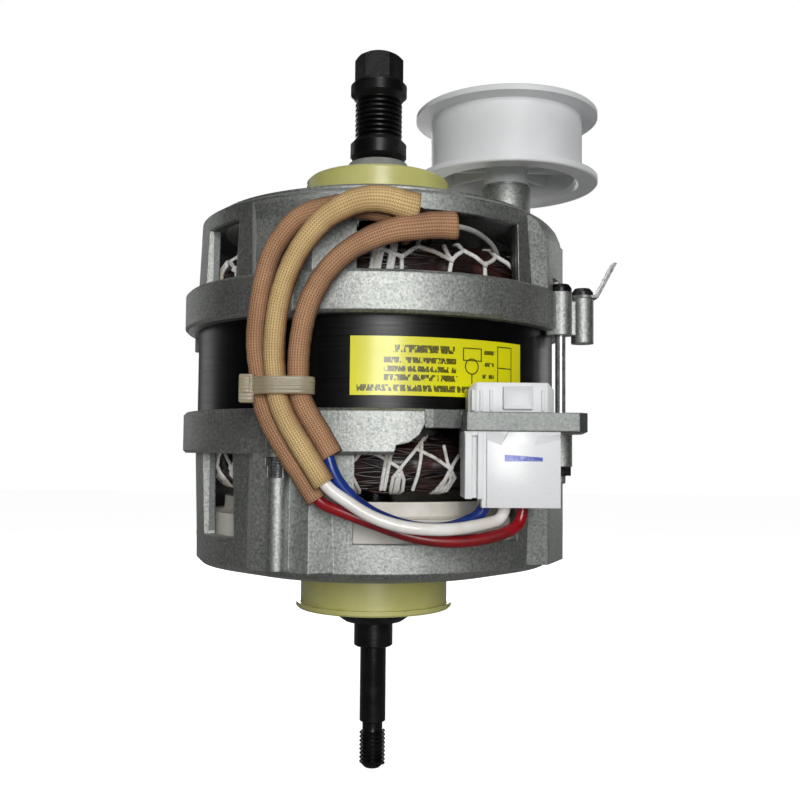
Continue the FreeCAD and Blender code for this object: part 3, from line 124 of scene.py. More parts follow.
class Finish:
    """One surface finish: its shader, and the calls that add a pattern to it."""

    def __init__(self, name, colour, roughness, **constants):
        self.material = bpy.data.materials.new(name)
        self.material.use_nodes = True
        self.tree = self.material.node_tree
        self.shader = self.tree.nodes["Principled BSDF"]
        self.shader.inputs["Base Color"].default_value = colour
        self.shader.inputs["Roughness"].default_value = roughness
        for key, value in constants.items():
            self.shader.inputs[key.replace("_", " ")].default_value = value

    def node(self, kind, output, settings=None, **values):
        """Adds a node, sets its settings and then its sockets, and gives one of its outputs."""
        node = self.tree.nodes.new("ShaderNode" + kind)
        for key, value in (settings or {}).items():
            setattr(node, key, value)
        for key, value in values.items():
            socket = node.inputs[key.replace("_", " ")]
            if isinstance(value, Number):
                self.tree.links.new(value.socket, socket)
            else:
                socket.default_value = value
        return Number(self.tree, node.outputs[output])

    def place(self, scale=(1, 1, 1)):
        """The point on the piece in metres, stretched for a pattern."""
        point = self.node("TexCoord", "Object")
        return self.node("Mapping", "Vector", Vector=point, Scale=scale)

    def axes(self):
        """The point's X, Y and Z in metres, as three numbers."""
        split = self.tree.nodes.new("ShaderNodeSeparateXYZ")
        self.tree.links.new(self.node("TexCoord", "Object").socket, split.inputs[0])
        return [Number(self.tree, output) for output in split.outputs]

    def around(self):
        """Angle round the motor's axis in radians, from its front."""
        across, along, _ = self.axes()
        return across.work("ARCTAN2", across, along * -1)

    def noise(self, scale, detail=3.0, where=None, rough=0.5):
        """Cloudy grain, with about that many patches to a metre."""
        return self.node("TexNoise", "Fac", Vector=where or self.place(), Scale=scale,
                         Detail=detail, Roughness=rough)

    def cells(self, scale):
        """Distance from the middle of each cell of a grain, with about that many to a metre."""
        return self.node("TexVoronoi", "Distance", Vector=self.place(), Scale=scale)

    def mixed(self, amount, first, second):
        """A colour that goes from the first to the second as the amount goes from 0 to 1."""
        node = self.tree.nodes.new("ShaderNodeMix")
        node.data_type = "RGBA"
        for place, value in ((0, amount), (6, first), (7, second)):
            if isinstance(value, Number):
                self.tree.links.new(value.socket, node.inputs[place])
            else:
                node.inputs[place].default_value = value
        return Number(self.tree, node.outputs[2])

    def feed(self, socket, value):
        self.tree.links.new(value.socket, self.shader.inputs[socket])

    def tint(self, amount, first, second):
        """Colours the piece from the first to the second as the amount goes from 0 to 1."""
        self.feed("Base Color", self.mixed(amount, first, second))

    def bump(self, height, depth):
        """Raises the surface where the height is 1, by that depth in metres."""
        self.feed("Normal", self.node("Bump", "Normal", Height=height, Distance=depth))

    def on(self, *pieces):
        """Puts the finish on each piece in place of what it has."""
        for piece in pieces:
            piece.data.materials.clear()
            piece.data.materials.append(self.material)


def show(item):
    """Puts a new object in the scene."""
    bpy.context.scene.collection.objects.link(item)


def edit_all():
    """Enters edit mode with the whole mesh selected."""
    bpy.ops.object.mode_set(mode="EDIT")
    bpy.ops.mesh.select_all(action="SELECT")


def leave_edit():
    bpy.ops.object.mode_set(mode="OBJECT")


def start(name, operator, **settings):
    """Adds a primitive with nothing else selected, under its own name, ready in edit mode."""
    bpy.ops.object.select_all(action="DESELECT")
    operator(**settings)
    piece = bpy.context.object
    piece.name = name
    piece.data.name = name
    edit_all()
    return piece


def pick(piece):
    """Makes a piece the only one selected."""
    bpy.ops.object.select_all(action="DESELECT")
    piece.select_set(True)
    bpy.context.view_layer.objects.active = piece


def apply(piece, kind, **settings):
    """Puts a modifier on a piece and fixes it in the mesh."""
    pick(piece)
    modifier = piece.modifiers.new(kind.lower(), kind)
    for key, value in settings.items():
        setattr(modifier, key, value)
    bpy.ops.object.modifier_apply(modifier=modifier.name)


def done(piece, body, outwards=True, smooth=30):
    """Leaves edit mode, turns the faces outwards and fixes the piece's place in its mesh."""
    if bpy.context.mode != "EDIT_MESH":
        bpy.ops.object.mode_set(mode="EDIT")
    bpy.ops.mesh.select_all(action="SELECT")
    if outwards:
        bpy.ops.mesh.normals_make_consistent(inside=False)
    leave_edit()
    bpy.ops.object.transform_apply(location=True, rotation=True, scale=True)
    bpy.ops.object.shade_smooth_by_angle(angle=math.radians(smooth))
    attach(piece, body)
    return piece


def turned(name, steps):
    """A piece turned about the motor's axis, from a disc that is drawn up step by step."""
    radius, height = steps[0]
    piece = start(name, bpy.ops.mesh.primitive_circle_add, vertices=TURNED_SIDES,
                  radius=radius * MM, fill_type="NGON", location=(0, 0, height * MM))
    for next_radius, next_height in steps[1:]:
        rise = (next_height - height) * MM
        bpy.ops.mesh.extrude_region_move(TRANSFORM_OT_translate={"value": (0, 0, rise)})
        share = next_radius / radius
        bpy.ops.transform.resize(value=(share, share, 1),
                                 center_override=(0, 0, next_height * MM))
        radius, height = next_radius, next_height
    return piece


TURNED_SIDES = 64
SPINDLE = [(2.4, -51.15), (3.3, -50.3), (3.3, -41.4), (3.1, -41.0), (3.1, -37.5), (4.0, -37.0),
           (4.0, -14.4), (5.6, -14.05), (6.0, -13.7), (6.0, 71.0), (7.5, 71.1), (7.5, 110.0),
           (6.0, 110.1), (6.0, 137.6), (5.0, 137.9), (5.0, 172.0)]
THREAD_TURNS = 8
THREAD_PITCH = 1.25
THREAD_CORE = 3.45
THREAD_START = -50.2
THREAD_SIZE = 0.6
SCREW_STEPS = 48

spindle = turned("spindle", SPINDLE)
done(spindle, "rotor")
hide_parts("shaft")

thread_place = (THREAD_CORE * MM, 0, THREAD_START * MM)
thread = start("spindle_thread", bpy.ops.mesh.primitive_circle_add, vertices=4,
               radius=THREAD_SIZE * MM, fill_type="NGON", location=thread_place,
               rotation=(math.pi / 2, 0, 0))
bpy.ops.transform.resize(value=(0.92, 1, 1.0), center_override=thread_place)
bpy.ops.mesh.delete(type="ONLY_FACE")
leave_edit()
bpy.ops.object.transform_apply(location=True, rotation=True, scale=True)
apply(thread, "SCREW", angle=math.tau, screw_offset=THREAD_PITCH * MM, iterations=THREAD_TURNS,
      steps=SCREW_STEPS, render_steps=SCREW_STEPS, use_normal_calculate=True)
bpy.ops.object.mode_set(mode="EDIT")
bpy.ops.mesh.select_all(action="DESELECT")
bpy.ops.mesh.select_mode(type="EDGE")
bpy.ops.mesh.select_non_manifold()
bpy.ops.mesh.edge_face_add()
bpy.ops.mesh.select_mode(type="VERT")
done(thread, "rotor")

black_steel = Finish("black_steel", paint(16, 16, 17), 0.3, Metallic=0.1, Coat_Weight=0.1,
                     Coat_Roughness=0.2, Specular_IOR_Level=0.3)
turning = black_steel.noise(1.0, 2.0, black_steel.place((60, 60, 5200)))
smudge = black_steel.noise(160, 4.0)
black_steel.tint(smudge.ramp(0.45, 0.75), paint(9, 9, 10), paint(28, 28, 30))
black_steel.feed("Roughness", smudge.ramp(0.3, 0.8) * 0.22 + turning * 0.1 + 0.16)
black_steel.bump(turning, 0.00003)
black_steel.on(spindle, thread)


# The rotor: a pack of thin steel plates with its cage of die-cast aluminium, whose end rings
# carry short fan blades. It is machined to size after casting, so its side shows turning marks.
rotor_steel = Finish("rotor_steel", paint(120, 118, 116), 0.42, Metallic=0.85)
plates = rotor_steel.noise(1.0, 2.0, rotor_steel.place((30, 30, 2000)))
rotor_steel.tint(plates.ramp(0.35, 0.65), paint(92, 90, 88), paint(140, 138, 136))
rotor_steel.feed("Roughness", plates * 0.2 + 0.32)
rotor_steel.bump(plates, 0.00008)
rotor_steel.on(nodes["rotor_core"])

cage_metal = Finish("rotor_cage", paint(168, 170, 172), 0.45, Metallic=0.8)
pores = cage_metal.cells(1500)
cage_metal.feed("Roughness", cage_metal.noise(400) * 0.3 + 0.3)
cage_metal.tint(cage_metal.noise(700, 4).ramp(0.4, 0.7), paint(178, 180, 182),
                paint(120, 122, 124))
cage_metal.bump(pores.ramp(0.0, 0.3), 0.00006)
cage_metal.on(nodes["rotor_cage"])


# The stator: punched steel plates welded in a stack and dipped in black varnish. The varnish
# fills most of the joints, so the side is glossy with a faint level grain, and pools a little.
core_varnish = Finish("stator_varnish", paint(10, 9, 9), 0.3, Specular_IOR_Level=0.22)
leaves = core_varnish.noise(1.0, 1.5, core_varnish.place((12, 12, 1900)))
runs = core_varnish.noise(1.0, 3.0, core_varnish.place((130, 130, 26)))
core_varnish.tint(runs.ramp(0.5, 0.8), paint(5, 5, 5), paint(20, 15, 13))
core_varnish.feed("Roughness", leaves * 0.14 + runs * 0.12 + 0.18)
core_varnish.bump(leaves * 0.7 + runs * 0.5, 0.00005)
core_varnish.on(nodes["stator_core"])


# The winding heads: many turns of enamelled wire that leave the core's slots, lie over each
# other in a fat ring above and below the core, and are dipped in varnish with it.
HEADS = {"upper": 96.2, "lower": 42.7}
HEAD_RADIUS = 43.0
HEAD_HALF_WIDTH = 6.2
HEAD_HALF_HEIGHT = 6.8
STRAND_COUNT = 58
STRAND_POINTS = 108
STRAND_RADIUS = 0.42
STRAND_FLOW = 0.3


def strand_line(count, height, flow):
    """The line of one strand: it wanders over the bundle as it goes round the ring."""
    points = []
    for step in range(STRAND_POINTS):
        around = math.tau * step / STRAND_POINTS
        section = math.tau * count / STRAND_COUNT + flow * math.sin(3 * around + count * 1.7)
        section += 0.10 * math.sin(8 * around + count * 2.3)
        swell = 1.0 + 0.035 * math.sin(11 * around + count * 0.9) + 0.03 * math.sin(count * 5.1)
        # the coils of each pole lift the ring a little between the slots
        lift = 0.45 * math.sin(12 * around + count * 0.4)
        radius = HEAD_RADIUS + HEAD_HALF_WIDTH * swell * math.cos(section)
        level = height + HEAD_HALF_HEIGHT * swell * math.sin(section) + lift
        points.append((radius * math.cos(around) * MM, radius * math.sin(around) * MM, level * MM))
    return points


def wires_along(name, lines, thickness, closed=False, sides=2):
    """Round wires along lists of points, as one mesh."""
    curve = bpy.data.curves.new(name, "CURVE")
    curve.dimensions = "3D"
    curve.bevel_depth = thickness * MM
    curve.bevel_resolution = sides
    curve.use_fill_caps = True
    for line in lines:
        spline = curve.splines.new("POLY")
        spline.points.add(len(line) - 1)
        for place, point in zip(spline.points, line):
            place.co = (*point, 1.0)
        spline.use_cyclic_u = closed
    piece = bpy.data.objects.new(name, curve)
    show(piece)
    pick(piece)
    bpy.ops.object.convert(target="MESH")
    piece = bpy.context.object
    piece.name = name
    bpy.ops.object.shade_smooth()
    return piece


enamel = Finish("winding_enamel", paint(48, 22, 18), 0.4, Coat_Weight=0.15, Coat_Roughness=0.25)
dip = enamel.noise(260, 4.0)
strands = enamel.noise(90, 3.0)
enamel.tint(strands.ramp(0.42, 0.62),
            enamel.mixed(dip.ramp(0.35, 0.6), paint(14, 9, 9), paint(28, 14, 14)),
            enamel.mixed(dip.ramp(0.4, 0.62), paint(22, 10, 10), paint(60, 30, 26)))
enamel.feed("Roughness", dip * 0.35 + 0.24)
enamel.bump(dip, 0.00008)

inside = nodes["main_winding"].copy()
inside.data = nodes["main_winding"].data.copy()
inside.parent = None
inside.name = "winding_coils"
for key in list(inside.keys()):
    del inside[key]
show(inside)
pick(inside)
edit_all()
bpy.ops.mesh.remove_doubles(threshold=0.00001)
leave_edit()
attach(inside, "stator")
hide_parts("main_winding")
enamel.on(inside)
for side, height in HEADS.items():
    lines = [strand_line(count, height, STRAND_FLOW) for count in range(STRAND_COUNT)]
    head = wires_along(f"winding_{side}_head", lines, STRAND_RADIUS, closed=True, sides=1)
    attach(head, "stator")
    enamel.on(head)


# The lacing: white polyester cord pulled round each winding head between the slots and
# locked by a stitch on its outer side, which draws the cord into a row of forks.
LOOP_COUNT = 24
LACING_WIDE = 7.35
LACING_HIGH = 7.75
LACING_STEP = 360 / LOOP_COUNT
CORD_RADIUS = {"upper": 0.62, "lower": 0.5}


def on_head(turn, section, height, tight=1.0):
    """A point on the head's skin: turn is degrees from the front, section from its outer side."""
    around = math.radians(turn - 90)
    radius = HEAD_RADIUS + LACING_WIDE * tight * math.cos(math.radians(section))
    level = height + LACING_HIGH * tight * math.sin(math.radians(section))
    return (radius * math.cos(around) * MM, radius * math.sin(around) * MM, level * MM)


def lacing_lines(height, joint, peak, behind, strays, first):
    """One wound cord and its forks. Joint and peak are sections, behind is the way back over
    the top and down the inner side, strays are extra strands beside each upright, and first
    are the places of lone strands at the front, where the cord was started."""
    wound = []
    forks = []
    for loop in range(LOOP_COUNT):
        turn = LACING_STEP * (loop + 0.5)
        drift = 1.3 * math.sin(loop * 2.1)
        lean = 5.2 + 1.4 * math.sin(loop * 1.3)
        here = [(turn, -96), (turn, -60), (turn + drift * 0.3, -25), (turn + drift, joint)]
        here += [(turn + lean * 0.5, (joint + peak) / 2), (turn + lean, peak)]
        here += [(turn + further, section) for further, section in behind]
        wound += [on_head(a, s, height) for a, s in here]
        later = LACING_STEP * (loop + 1.5) + 1.3 * math.sin((loop + 1) * 2.1)
        middle = ((turn + lean + later) / 2, (joint + peak) / 2 + 2)
        fork = [(turn + lean, peak), middle, (later, joint)]
        forks.append([on_head(a, s, height, 1.02) for a, s in fork])
        if loop % 3 == 1:
            stub = [(turn + drift, joint), (turn + drift - 1.2, joint + 12),
                    (turn + drift - 1.5, peak + 8)]
            forks.append([on_head(a, s, height, 1.03) for a, s in stub])
        knot = [(turn + drift - 0.5, joint - 5), (turn + drift + 0.5, joint + 4)]
        forks.append([on_head(a, s, height, 1.06) for a, s in knot])
        for aside in first if loop == 0 else ():
            lone = [(turn + aside, -60), (turn + aside + 0.6, -20), (turn + aside + 1.4, 12),
                    (turn + aside + 2.4, 45)]
            forks.append([on_head(a, s, height, 1.01) for a, s in lone])
        for stray in range(strays):
            spread = (0.7 + 0.55 * stray) * (1 if (stray + loop) % 2 else -1)
            line = [(turn + spread, -96), (turn + spread * 1.3, -62),
                    (turn + drift + spread * 1.1, -34 + 4 * stray), (turn + drift, joint)]
            forks.append([on_head(a, s, height, 1.01) for a, s in line])
    return [wound] + forks


lacing_cord = Finish("lacing_cord", paint(232, 230, 224), 0.75, Sheen_Weight=0.2)
twist = lacing_cord.node("TexWave", "Fac", {"wave_type": "BANDS", "bands_direction": "DIAGONAL"},
                         Vector=lacing_cord.place(), Scale=420.0, Distortion=2.0)
soiled = lacing_cord.noise(140, 3.0)
lacing_cord.tint(soiled.ramp(0.5, 0.72), paint(236, 235, 230), paint(176, 164, 148))
lacing_cord.feed("Roughness", twist * 0.15 + 0.65)
lacing_cord.bump(twist, 0.00012)
OVER_UPPER = [(6.5, 65), (8, 90), (10, 130), (12, 165), (14, 205), (15, 240)]
OVER_LOWER = [(8.5, 60), (11.2, 82), (11.2, 98), (12, 130), (13, 165), (14.4, 205), (15, 240)]
for side, joint, peak, behind, strays, first in (
        ("upper", 12, 40, OVER_UPPER, 0, (-10.2, -9.0, -7.8, -5.0, -3.9)),
        ("lower", -8, 32, OVER_LOWER, 3, (-5.6, -4.4, 5.0))):
    lines = lacing_lines(HEADS[side], joint, peak, behind, strays, first)
    cord = wires_along(f"lacing_{side}", lines, CORD_RADIUS[side])
    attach(cord, "stator")
    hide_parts(f"{side}_lacing")
    lacing_cord.on(cord)


# The end shields: two aluminium castings shot-blasted after casting, so that their skin is
# matt and speckled, with fine pores, and every edge is soft.
def copied(node, name):
    """A merged copy of a CAD node, to be finished by hand in place of the node."""
    piece = bpy.data.objects.new(name, nodes[node].data.copy())
    show(piece)
    pick(piece)
    # the node's own normals would stay where its faces are cut or moved
    bpy.ops.mesh.customdata_custom_splitnormals_clear()
    edit_all()
    bpy.ops.mesh.remove_doubles(threshold=0.00001)
    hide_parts(node)
    return piece


def slab(name, low, high, edge=0.25, segments=2):
    """A block between two corners in mm, with its edges rounded."""
    middle = [(a + b) / 2 * MM for a, b in zip(low, high)]
    piece = start(name, bpy.ops.mesh.primitive_cube_add, size=1, location=middle)
    size = [(b - a) * MM for a, b in zip(low, high)]
    bpy.ops.transform.resize(value=size, center_override=middle)
    if edge:
        bpy.ops.mesh.bevel(offset=edge * MM, segments=segments, affect="EDGES")
    return piece


def rounded(piece, width):
    """Rounds every sharp edge of a piece by that much, in mm."""
    apply(piece, "BEVEL", width=width * MM, segments=2, limit_method="ANGLE",
          angle_limit=math.radians(40))


def cut_away(piece, cutter):
    """Cuts one piece's space out of another and drops the cutter."""
    apply(piece, "BOOLEAN", object=cutter, operation="DIFFERENCE")
    bpy.data.objects.remove(cutter)


lower_shield = copied("lower_end_shield", "lower_shield_casting")
leave_edit()
# the casting's lower edge is drawn down a little, so that its dished floor is flatter
FLOOR_START = 41.4
FLOOR_WIDTH = 11.5
FLOOR_HEIGHT = 10.9
FLOOR_SLOPE = 0.5217
FLOOR_REACH = (41.5, 53.2)
SKIRT_INSIDE = 52.7
SKIRT_TOP = 19.0
EDGE_DROP = 3.6
for vertex in lower_shield.data.vertices:
    away = math.hypot(vertex.co.x, vertex.co.y) / MM
    level = vertex.co.z / MM
    under = level < FLOOR_HEIGHT + (away - FLOOR_START) * FLOOR_SLOPE
    on_floor = FLOOR_REACH[0] < away < FLOOR_REACH[1] and under
    if on_floor or (away > SKIRT_INSIDE and level < SKIRT_TOP):
        vertex.co.z -= EDGE_DROP * MM * min(1.0, (away - FLOOR_START) / FLOOR_WIDTH)
# beside the connector plate the casting is open under a narrow arm
RECESS = ((5.3, 43.0), (5.3, 47.7), (8.6, 48.4), (11.2, 50.4), (12.4, 52.3), (22.3, 52.3),
          (22.3, 43.0))
RECESS_FRONT = -60.5
RECESS_DEPTH = 16.5
recess = start("recess_cutter", bpy.ops.mesh.primitive_circle_add, vertices=len(RECESS), radius=1,
               fill_type="NGON")
leave_edit()
for vertex, (x, z) in zip(recess.data.vertices, RECESS):
    vertex.co = Vector((x, RECESS_FRONT, z)) * MM
edit_all()
bpy.ops.mesh.extrude_region_move(TRANSFORM_OT_translate={"value": (0, RECESS_DEPTH * MM, 0)})
bpy.ops.mesh.select_all(action="SELECT")
bpy.ops.mesh.normals_make_consistent(inside=False)
leave_edit()
cut_away(lower_shield, recess)
done(lower_shield, "stator", outwards=False, smooth=30)

cast_metal = Finish("cast_shield", paint(190, 192, 190), 0.55, Metallic=1.0)
grit = cast_metal.noise(1300, 3.0, rough=0.7)
patch = cast_metal.noise(75, 3.0)
pit = cast_metal.noise(1900, 1.0).ramp(0.6, 0.75)
tone = grit.ramp(0.32, 0.68) * 0.8 + patch.ramp(0.3, 0.7) * 0.2
skin = cast_metal.mixed(tone, paint(132, 136, 134), paint(206, 208, 203))
across, depth, up = cast_metal.axes()
# the connector plate, at the right front, is painted darker: painted shade
PLATE_LEFT = 0.0150
PLATE_BACK = -0.0500
PLATE_LEVELS = (0.0380, 0.0572)
plate = across.over(PLATE_LEFT) * depth.under(PLATE_BACK) * up.between(*PLATE_LEVELS)
skin_with_painted_shade = cast_metal.mixed(plate * 0.6, skin, paint(96, 100, 99))
# the inner walls, which the windows show, are painted dark: painted shade
INNER_RADIUS = 0.0534
LOWER_WINDOWS = (0.0230, 0.0455)
UPPER_WINDOWS = (0.0890, 0.1130)
inner = ((across * across + depth * depth) ** 0.5).under(INNER_RADIUS)
inner = inner * (up.between(*LOWER_WINDOWS) + up.between(*UPPER_WINDOWS))
skin_with_painted_shade = cast_metal.mixed(inner * 0.7, skin_with_painted_shade, paint(74, 77, 77))
cast_metal.tint(pit * 0.3, skin_with_painted_shade, paint(110, 113, 114))
cast_metal.feed("Roughness", grit * 0.12 + 0.5)
# the blasting rounds every edge by about half a millimetre
soft_edge = cast_metal.node("Bevel", "Normal", {"samples": 6}, Radius=0.0005)
rough_skin = cast_metal.node("Bump", "Normal", Distance=0.00009, Normal=soft_edge,
                             Height=grit * 0.8 + patch * 0.15 - pit * 0.3)
cast_metal.feed("Normal", rough_skin)
cast_metal.on(lower_shield, nodes["upper_end_shield"])


# The bearings: hardened steel rings and balls, bright and slightly oily, with a thin
# washer over the upper one that takes up the play.
bearing_steel = Finish("bearing_steel", paint(196, 198, 200), 0.2, Metallic=0.95)
oil = bearing_steel.noise(220, 3.0)
bearing_steel.feed("Roughness", oil * 0.22 + 0.1)
bearing_steel.tint(oil.ramp(0.4, 0.7), paint(202, 204, 206), paint(160, 156, 148))
for side in ("lower", "upper"):
    for kind in ("outer_race", "inner_race", "balls"):
        bearing_steel.on(nodes[f"{side}_bearing_{kind}"])
bearing_steel.on(nodes["preload_washer"])


# The mount rings: cream cast polyurethane that lets a little light in, pushed on the hub of
# each shield. They are smooth and waxy with faint rings from the mould.
ring_cream = Finish("cream_ring", paint(214, 212, 140), 0.36, Coat_Weight=0.25,
                    Coat_Roughness=0.22, Subsurface_Weight=0.1, Subsurface_Scale=0.003,
                    Subsurface_Radius=(1.0, 0.9, 0.4))
mould_rings = ring_cream.noise(1.0, 2.0, ring_cream.place((18, 18, 900)))
wax = ring_cream.noise(60, 3.0)
ring_cream.tint(wax.ramp(0.35, 0.7), paint(214, 212, 138), paint(196, 193, 112))
ring_cream.feed("Roughness", wax * 0.15 + mould_rings * 0.12 + 0.24)
ring_cream.bump(mould_rings, 0.00004)
ring_cream.on(nodes["upper_mount_ring"], nodes["lower_mount_ring"])


# The seals: a grey rubber cup round the spindle above the upper ring, and a black rubber
# dust disc under the lower one. Neither of them turns.
grey_rubber = Finish("grey_seal", paint(122, 126, 120), 0.55)
bloom = grey_rubber.noise(180, 4.0)
grey_rubber.tint(bloom.ramp(0.35, 0.7), paint(120, 124, 120), paint(150, 153, 146))
grey_rubber.feed("Roughness", bloom * 0.25 + 0.4)
grey_rubber.bump(grey_rubber.noise(1800, 2), 0.00004)
grey_rubber.on(nodes["upper_seal_cup"])

black_rubber = Finish("black_seal", paint(20, 20, 21), 0.6)
dust = black_rubber.noise(300, 4.0)
black_rubber.tint(dust.ramp(0.5, 0.8), paint(16, 16, 17), paint(52, 50, 48))
black_rubber.feed("Roughness", dust * 0.3 + 0.42)
black_rubber.bump(dust, 0.00005)
black_rubber.on(nodes["lower_dust_disc"])


# The drive pulley: sintered steel, ribbed for the belt and hexagonal at its nose, blackened
# in the same bath as the spindle and a little rubbed.
black_pulley = Finish("black_pulley", paint(16, 16, 17), 0.35, Metallic=0.1, Coat_Weight=0.1,
                      Coat_Roughness=0.25, Specular_IOR_Level=0.3)
grains = black_pulley.noise(1400, 3.0)
rub = black_pulley.noise(120, 3.0)
black_pulley.tint(rub.ramp(0.5, 0.8), paint(11, 11, 12), paint(34, 34, 36))
black_pulley.feed("Roughness", grains * 0.2 + rub * 0.15 + 0.18)
black_pulley.bump(grains, 0.00005)
black_pulley.on(nodes["drive_pulley"])


# The belt idler: a white nylon wheel on a steel pin in the shield's cast post. It is moulded
# in one piece, with a cloudy gloss.
NYLON_WHITE = paint(238, 239, 240)
NYLON = {"Coat_Weight": 0.05, "Coat_Roughness": 0.35, "Subsurface_Weight": 0.08,
         "Subsurface_Scale": 0.003, "Subsurface_Radius": (1.0, 0.95, 0.9)}
white_nylon = Finish("white_moulding", NYLON_WHITE, 0.45, **NYLON)
flow = white_nylon.noise(35, 3.0)
matt = white_nylon.noise(900, 3.0)
white_nylon.tint(flow.ramp(0.35, 0.7), paint(240, 241, 242), paint(228, 230, 231))
white_nylon.feed("Roughness", flow * 0.2 + matt * 0.08 + 0.34)
white_nylon.bump(matt, 0.00003)
white_nylon.on(nodes["idler_pulley"])

zinc = Finish("zinc_steel", paint(186, 188, 190), 0.3, Metallic=0.9)
film = zinc.noise(300, 3.0)
zinc.tint(film.ramp(0.4, 0.7), paint(200, 201, 203), paint(150, 150, 150))
zinc.feed("Roughness", film * 0.25 + 0.3)
zinc.bump(film, 0.00003)
zinc.on(nodes["idler_pin"], nodes["idler_washer"], nodes["idler_clip"])


# The fasteners: four long bolts with low domed heads that draw the shields together over the
# core, hexagon nuts under the lower bosses of two of them, and the earth screw with its tab.
black_screw = Finish("black_screw", paint(30, 30, 32), 0.35, Metallic=0.5)
phosphate = black_screw.noise(900, 3.0)
black_screw.tint(phosphate.ramp(0.4, 0.7), paint(24, 24, 26), paint(66, 66, 68))
black_screw.feed("Roughness", phosphate * 0.3 + 0.24)
black_screw.bump(phosphate, 0.00004)
black_screw.on(nodes["bolt_nuts"], nodes["earth_screw"])

bolt = Finish("bolt_zinc", paint(176, 178, 180), 0.3, Metallic=0.8)
HEAD_FOOT = 0.0929
ROLLED_TOP = 0.0465
ROLLED_PITCH = 0.0008
_, _, up = bolt.axes()
rubbed = bolt.noise(500, 3.0)
head = up.over(HEAD_FOOT)
rolled = up.under(ROLLED_TOP)
bolt.tint(head, bolt.mixed(rubbed.ramp(0.4, 0.7), paint(196, 198, 200), paint(140, 140, 142)),
          paint(30, 30, 32))
bolt.feed("Roughness", rubbed * 0.25 + 0.2)
bolt.bump((up * (math.tau / ROLLED_PITCH)).sine() * rolled + rubbed * 0.1, 0.00015)
bolt.on(nodes["through_bolts"])

tab = Finish("earth_tab", paint(108, 108, 106), 0.5, Metallic=0.6)
dulled = tab.noise(700, 3.0)
tab.tint(dulled.ramp(0.35, 0.65), paint(92, 92, 90), paint(160, 160, 158))
tab.feed("Roughness", dulled * 0.2 + 0.42)
tab.on(nodes["earth_tab"])


# The connector: a white nylon housing snapped in the shield's plate. Its front has a raised
# panel with two sloping pockets at its top, a stepped left side and an ink stroke from test.
housing = copied("connector_housing", "connector_body")
SHOULDER_HEIGHT = 62.1
for lean, corner in ((-1, 23.6), (1, 45.6)):
    # each upper corner is cut off at 45 degrees
    bpy.ops.mesh.select_all(action="SELECT")
    bpy.ops.mesh.bisect(plane_co=(corner * MM, 0, SHOULDER_HEIGHT * MM), plane_no=(lean, 0, 1),
                        use_fill=True, clear_outer=True)
bpy.ops.mesh.select_all(action="SELECT")
bpy.ops.mesh.dissolve_limited(angle_limit=0.01)
leave_edit()
rounded(housing, 0.3)
done(housing, "stator", outwards=False, smooth=35)

panel = slab("connector_panel", (28.0, -62.6, 32.3), (46.5, -60.9, 51.3), 0.0)
leave_edit()
# each pocket's outer side, and its inner side at the top and at the foot
POCKETS = {"near": (26.5, 34.0, 31.6), "far": (48.0, 41.6, 39.8)}
POCKET_RISE = 1.9
POCKET_BACK = -0.45
for name, (outer, inner_top, inner_foot) in POCKETS.items():
    # a wedge is cut from each upper corner, deepest at the top
    pocket = slab("pocket_" + name, (min(outer, inner_top), -63.6, 47.9),
                  (max(outer, inner_top), -60.6, 52.3), 0.0)
    leave_edit()
    for vertex in pocket.data.vertices:
        if vertex.co.z > 0:
            continue
        if (vertex.co.x > 0) == (inner_top > outer):
            vertex.co.x += (inner_foot - inner_top) * MM
        else:
            vertex.co.z += POCKET_RISE * MM
        if vertex.co.y > 0:
            vertex.co.y = POCKET_BACK * MM
    cut_away(panel, pocket)
rounded(panel, 0.15)
done(panel, "stator")
step_left = slab("connector_step", (22.5, -62.0, 34.4), (24.4, -60.6, 51.2), 0.2)
done(step_left, "stator")
step_inner = slab("connector_rib", (25.7, -62.2, 34.4), (27.2, -60.6, 51.2), 0.2)
done(step_inner, "stator")
latch = slab("connector_latch", (32.2, -61.7, 57.0), (39.8, -60.2, 62.9), 0.3)
# the latch's front is sunk within a rim
LATCH_RIM = 1.1
LATCH_DEPTH = 0.5
bpy.ops.mesh.select_all(action="DESELECT")
leave_edit()
for face in latch.data.polygons:
    face.select = face.normal.y < -0.99
bpy.ops.object.mode_set(mode="EDIT")
bpy.ops.mesh.inset(thickness=LATCH_RIM * MM, depth=-LATCH_DEPTH * MM)
done(latch, "stator")
ribs = []
for count, place in enumerate((24.2, 26.3, 28.8, 42.0)):
    rib = slab(f"connector_lid_rib_{count}", (place, -60.9, 56.6), (place + 0.9, -60.1, 62.0), 0.2)
    done(rib, "stator")
    ribs.append(rib)
white_nylon.on(housing, step_left, step_inner, latch, *ribs)

inked = Finish("connector_inked", NYLON_WHITE, 0.45, **NYLON)
across, depth, up = inked.axes()
INK_HEIGHT = 44.6
INK_MIDDLE = 37.0
INK_START = 32.4
INK_LENGTH = 9.6
PANEL_FRONT = -62.3
level = up * PER_MM - INK_HEIGHT + (across * PER_MM - INK_MIDDLE) * 0.03
wave = inked.noise(1100, 2.0)
reach = across * PER_MM - INK_START
stroke = (abs(level) + wave * 0.25 + reach * 0.04).under(1.0) * reach.between(0.0, INK_LENGTH)
front = (depth * PER_MM).under(PANEL_FRONT)
inked.tint(stroke * front * (wave.ramp(0.2, 0.5) * 0.5 + 0.45), NYLON_WHITE, paint(34, 70, 190))
inked.feed("Roughness", wave * 0.2 + 0.2)
inked.on(panel)

brass = Finish("brass_pin", paint(214, 190, 120), 0.25, Metallic=0.95)
tarnish = brass.noise(500, 3.0)
brass.tint(tarnish, paint(222, 200, 136), paint(170, 140, 84))
brass.feed("Roughness", tarnish * 0.3 + 0.15)
brass.on(nodes["connector_pins"])


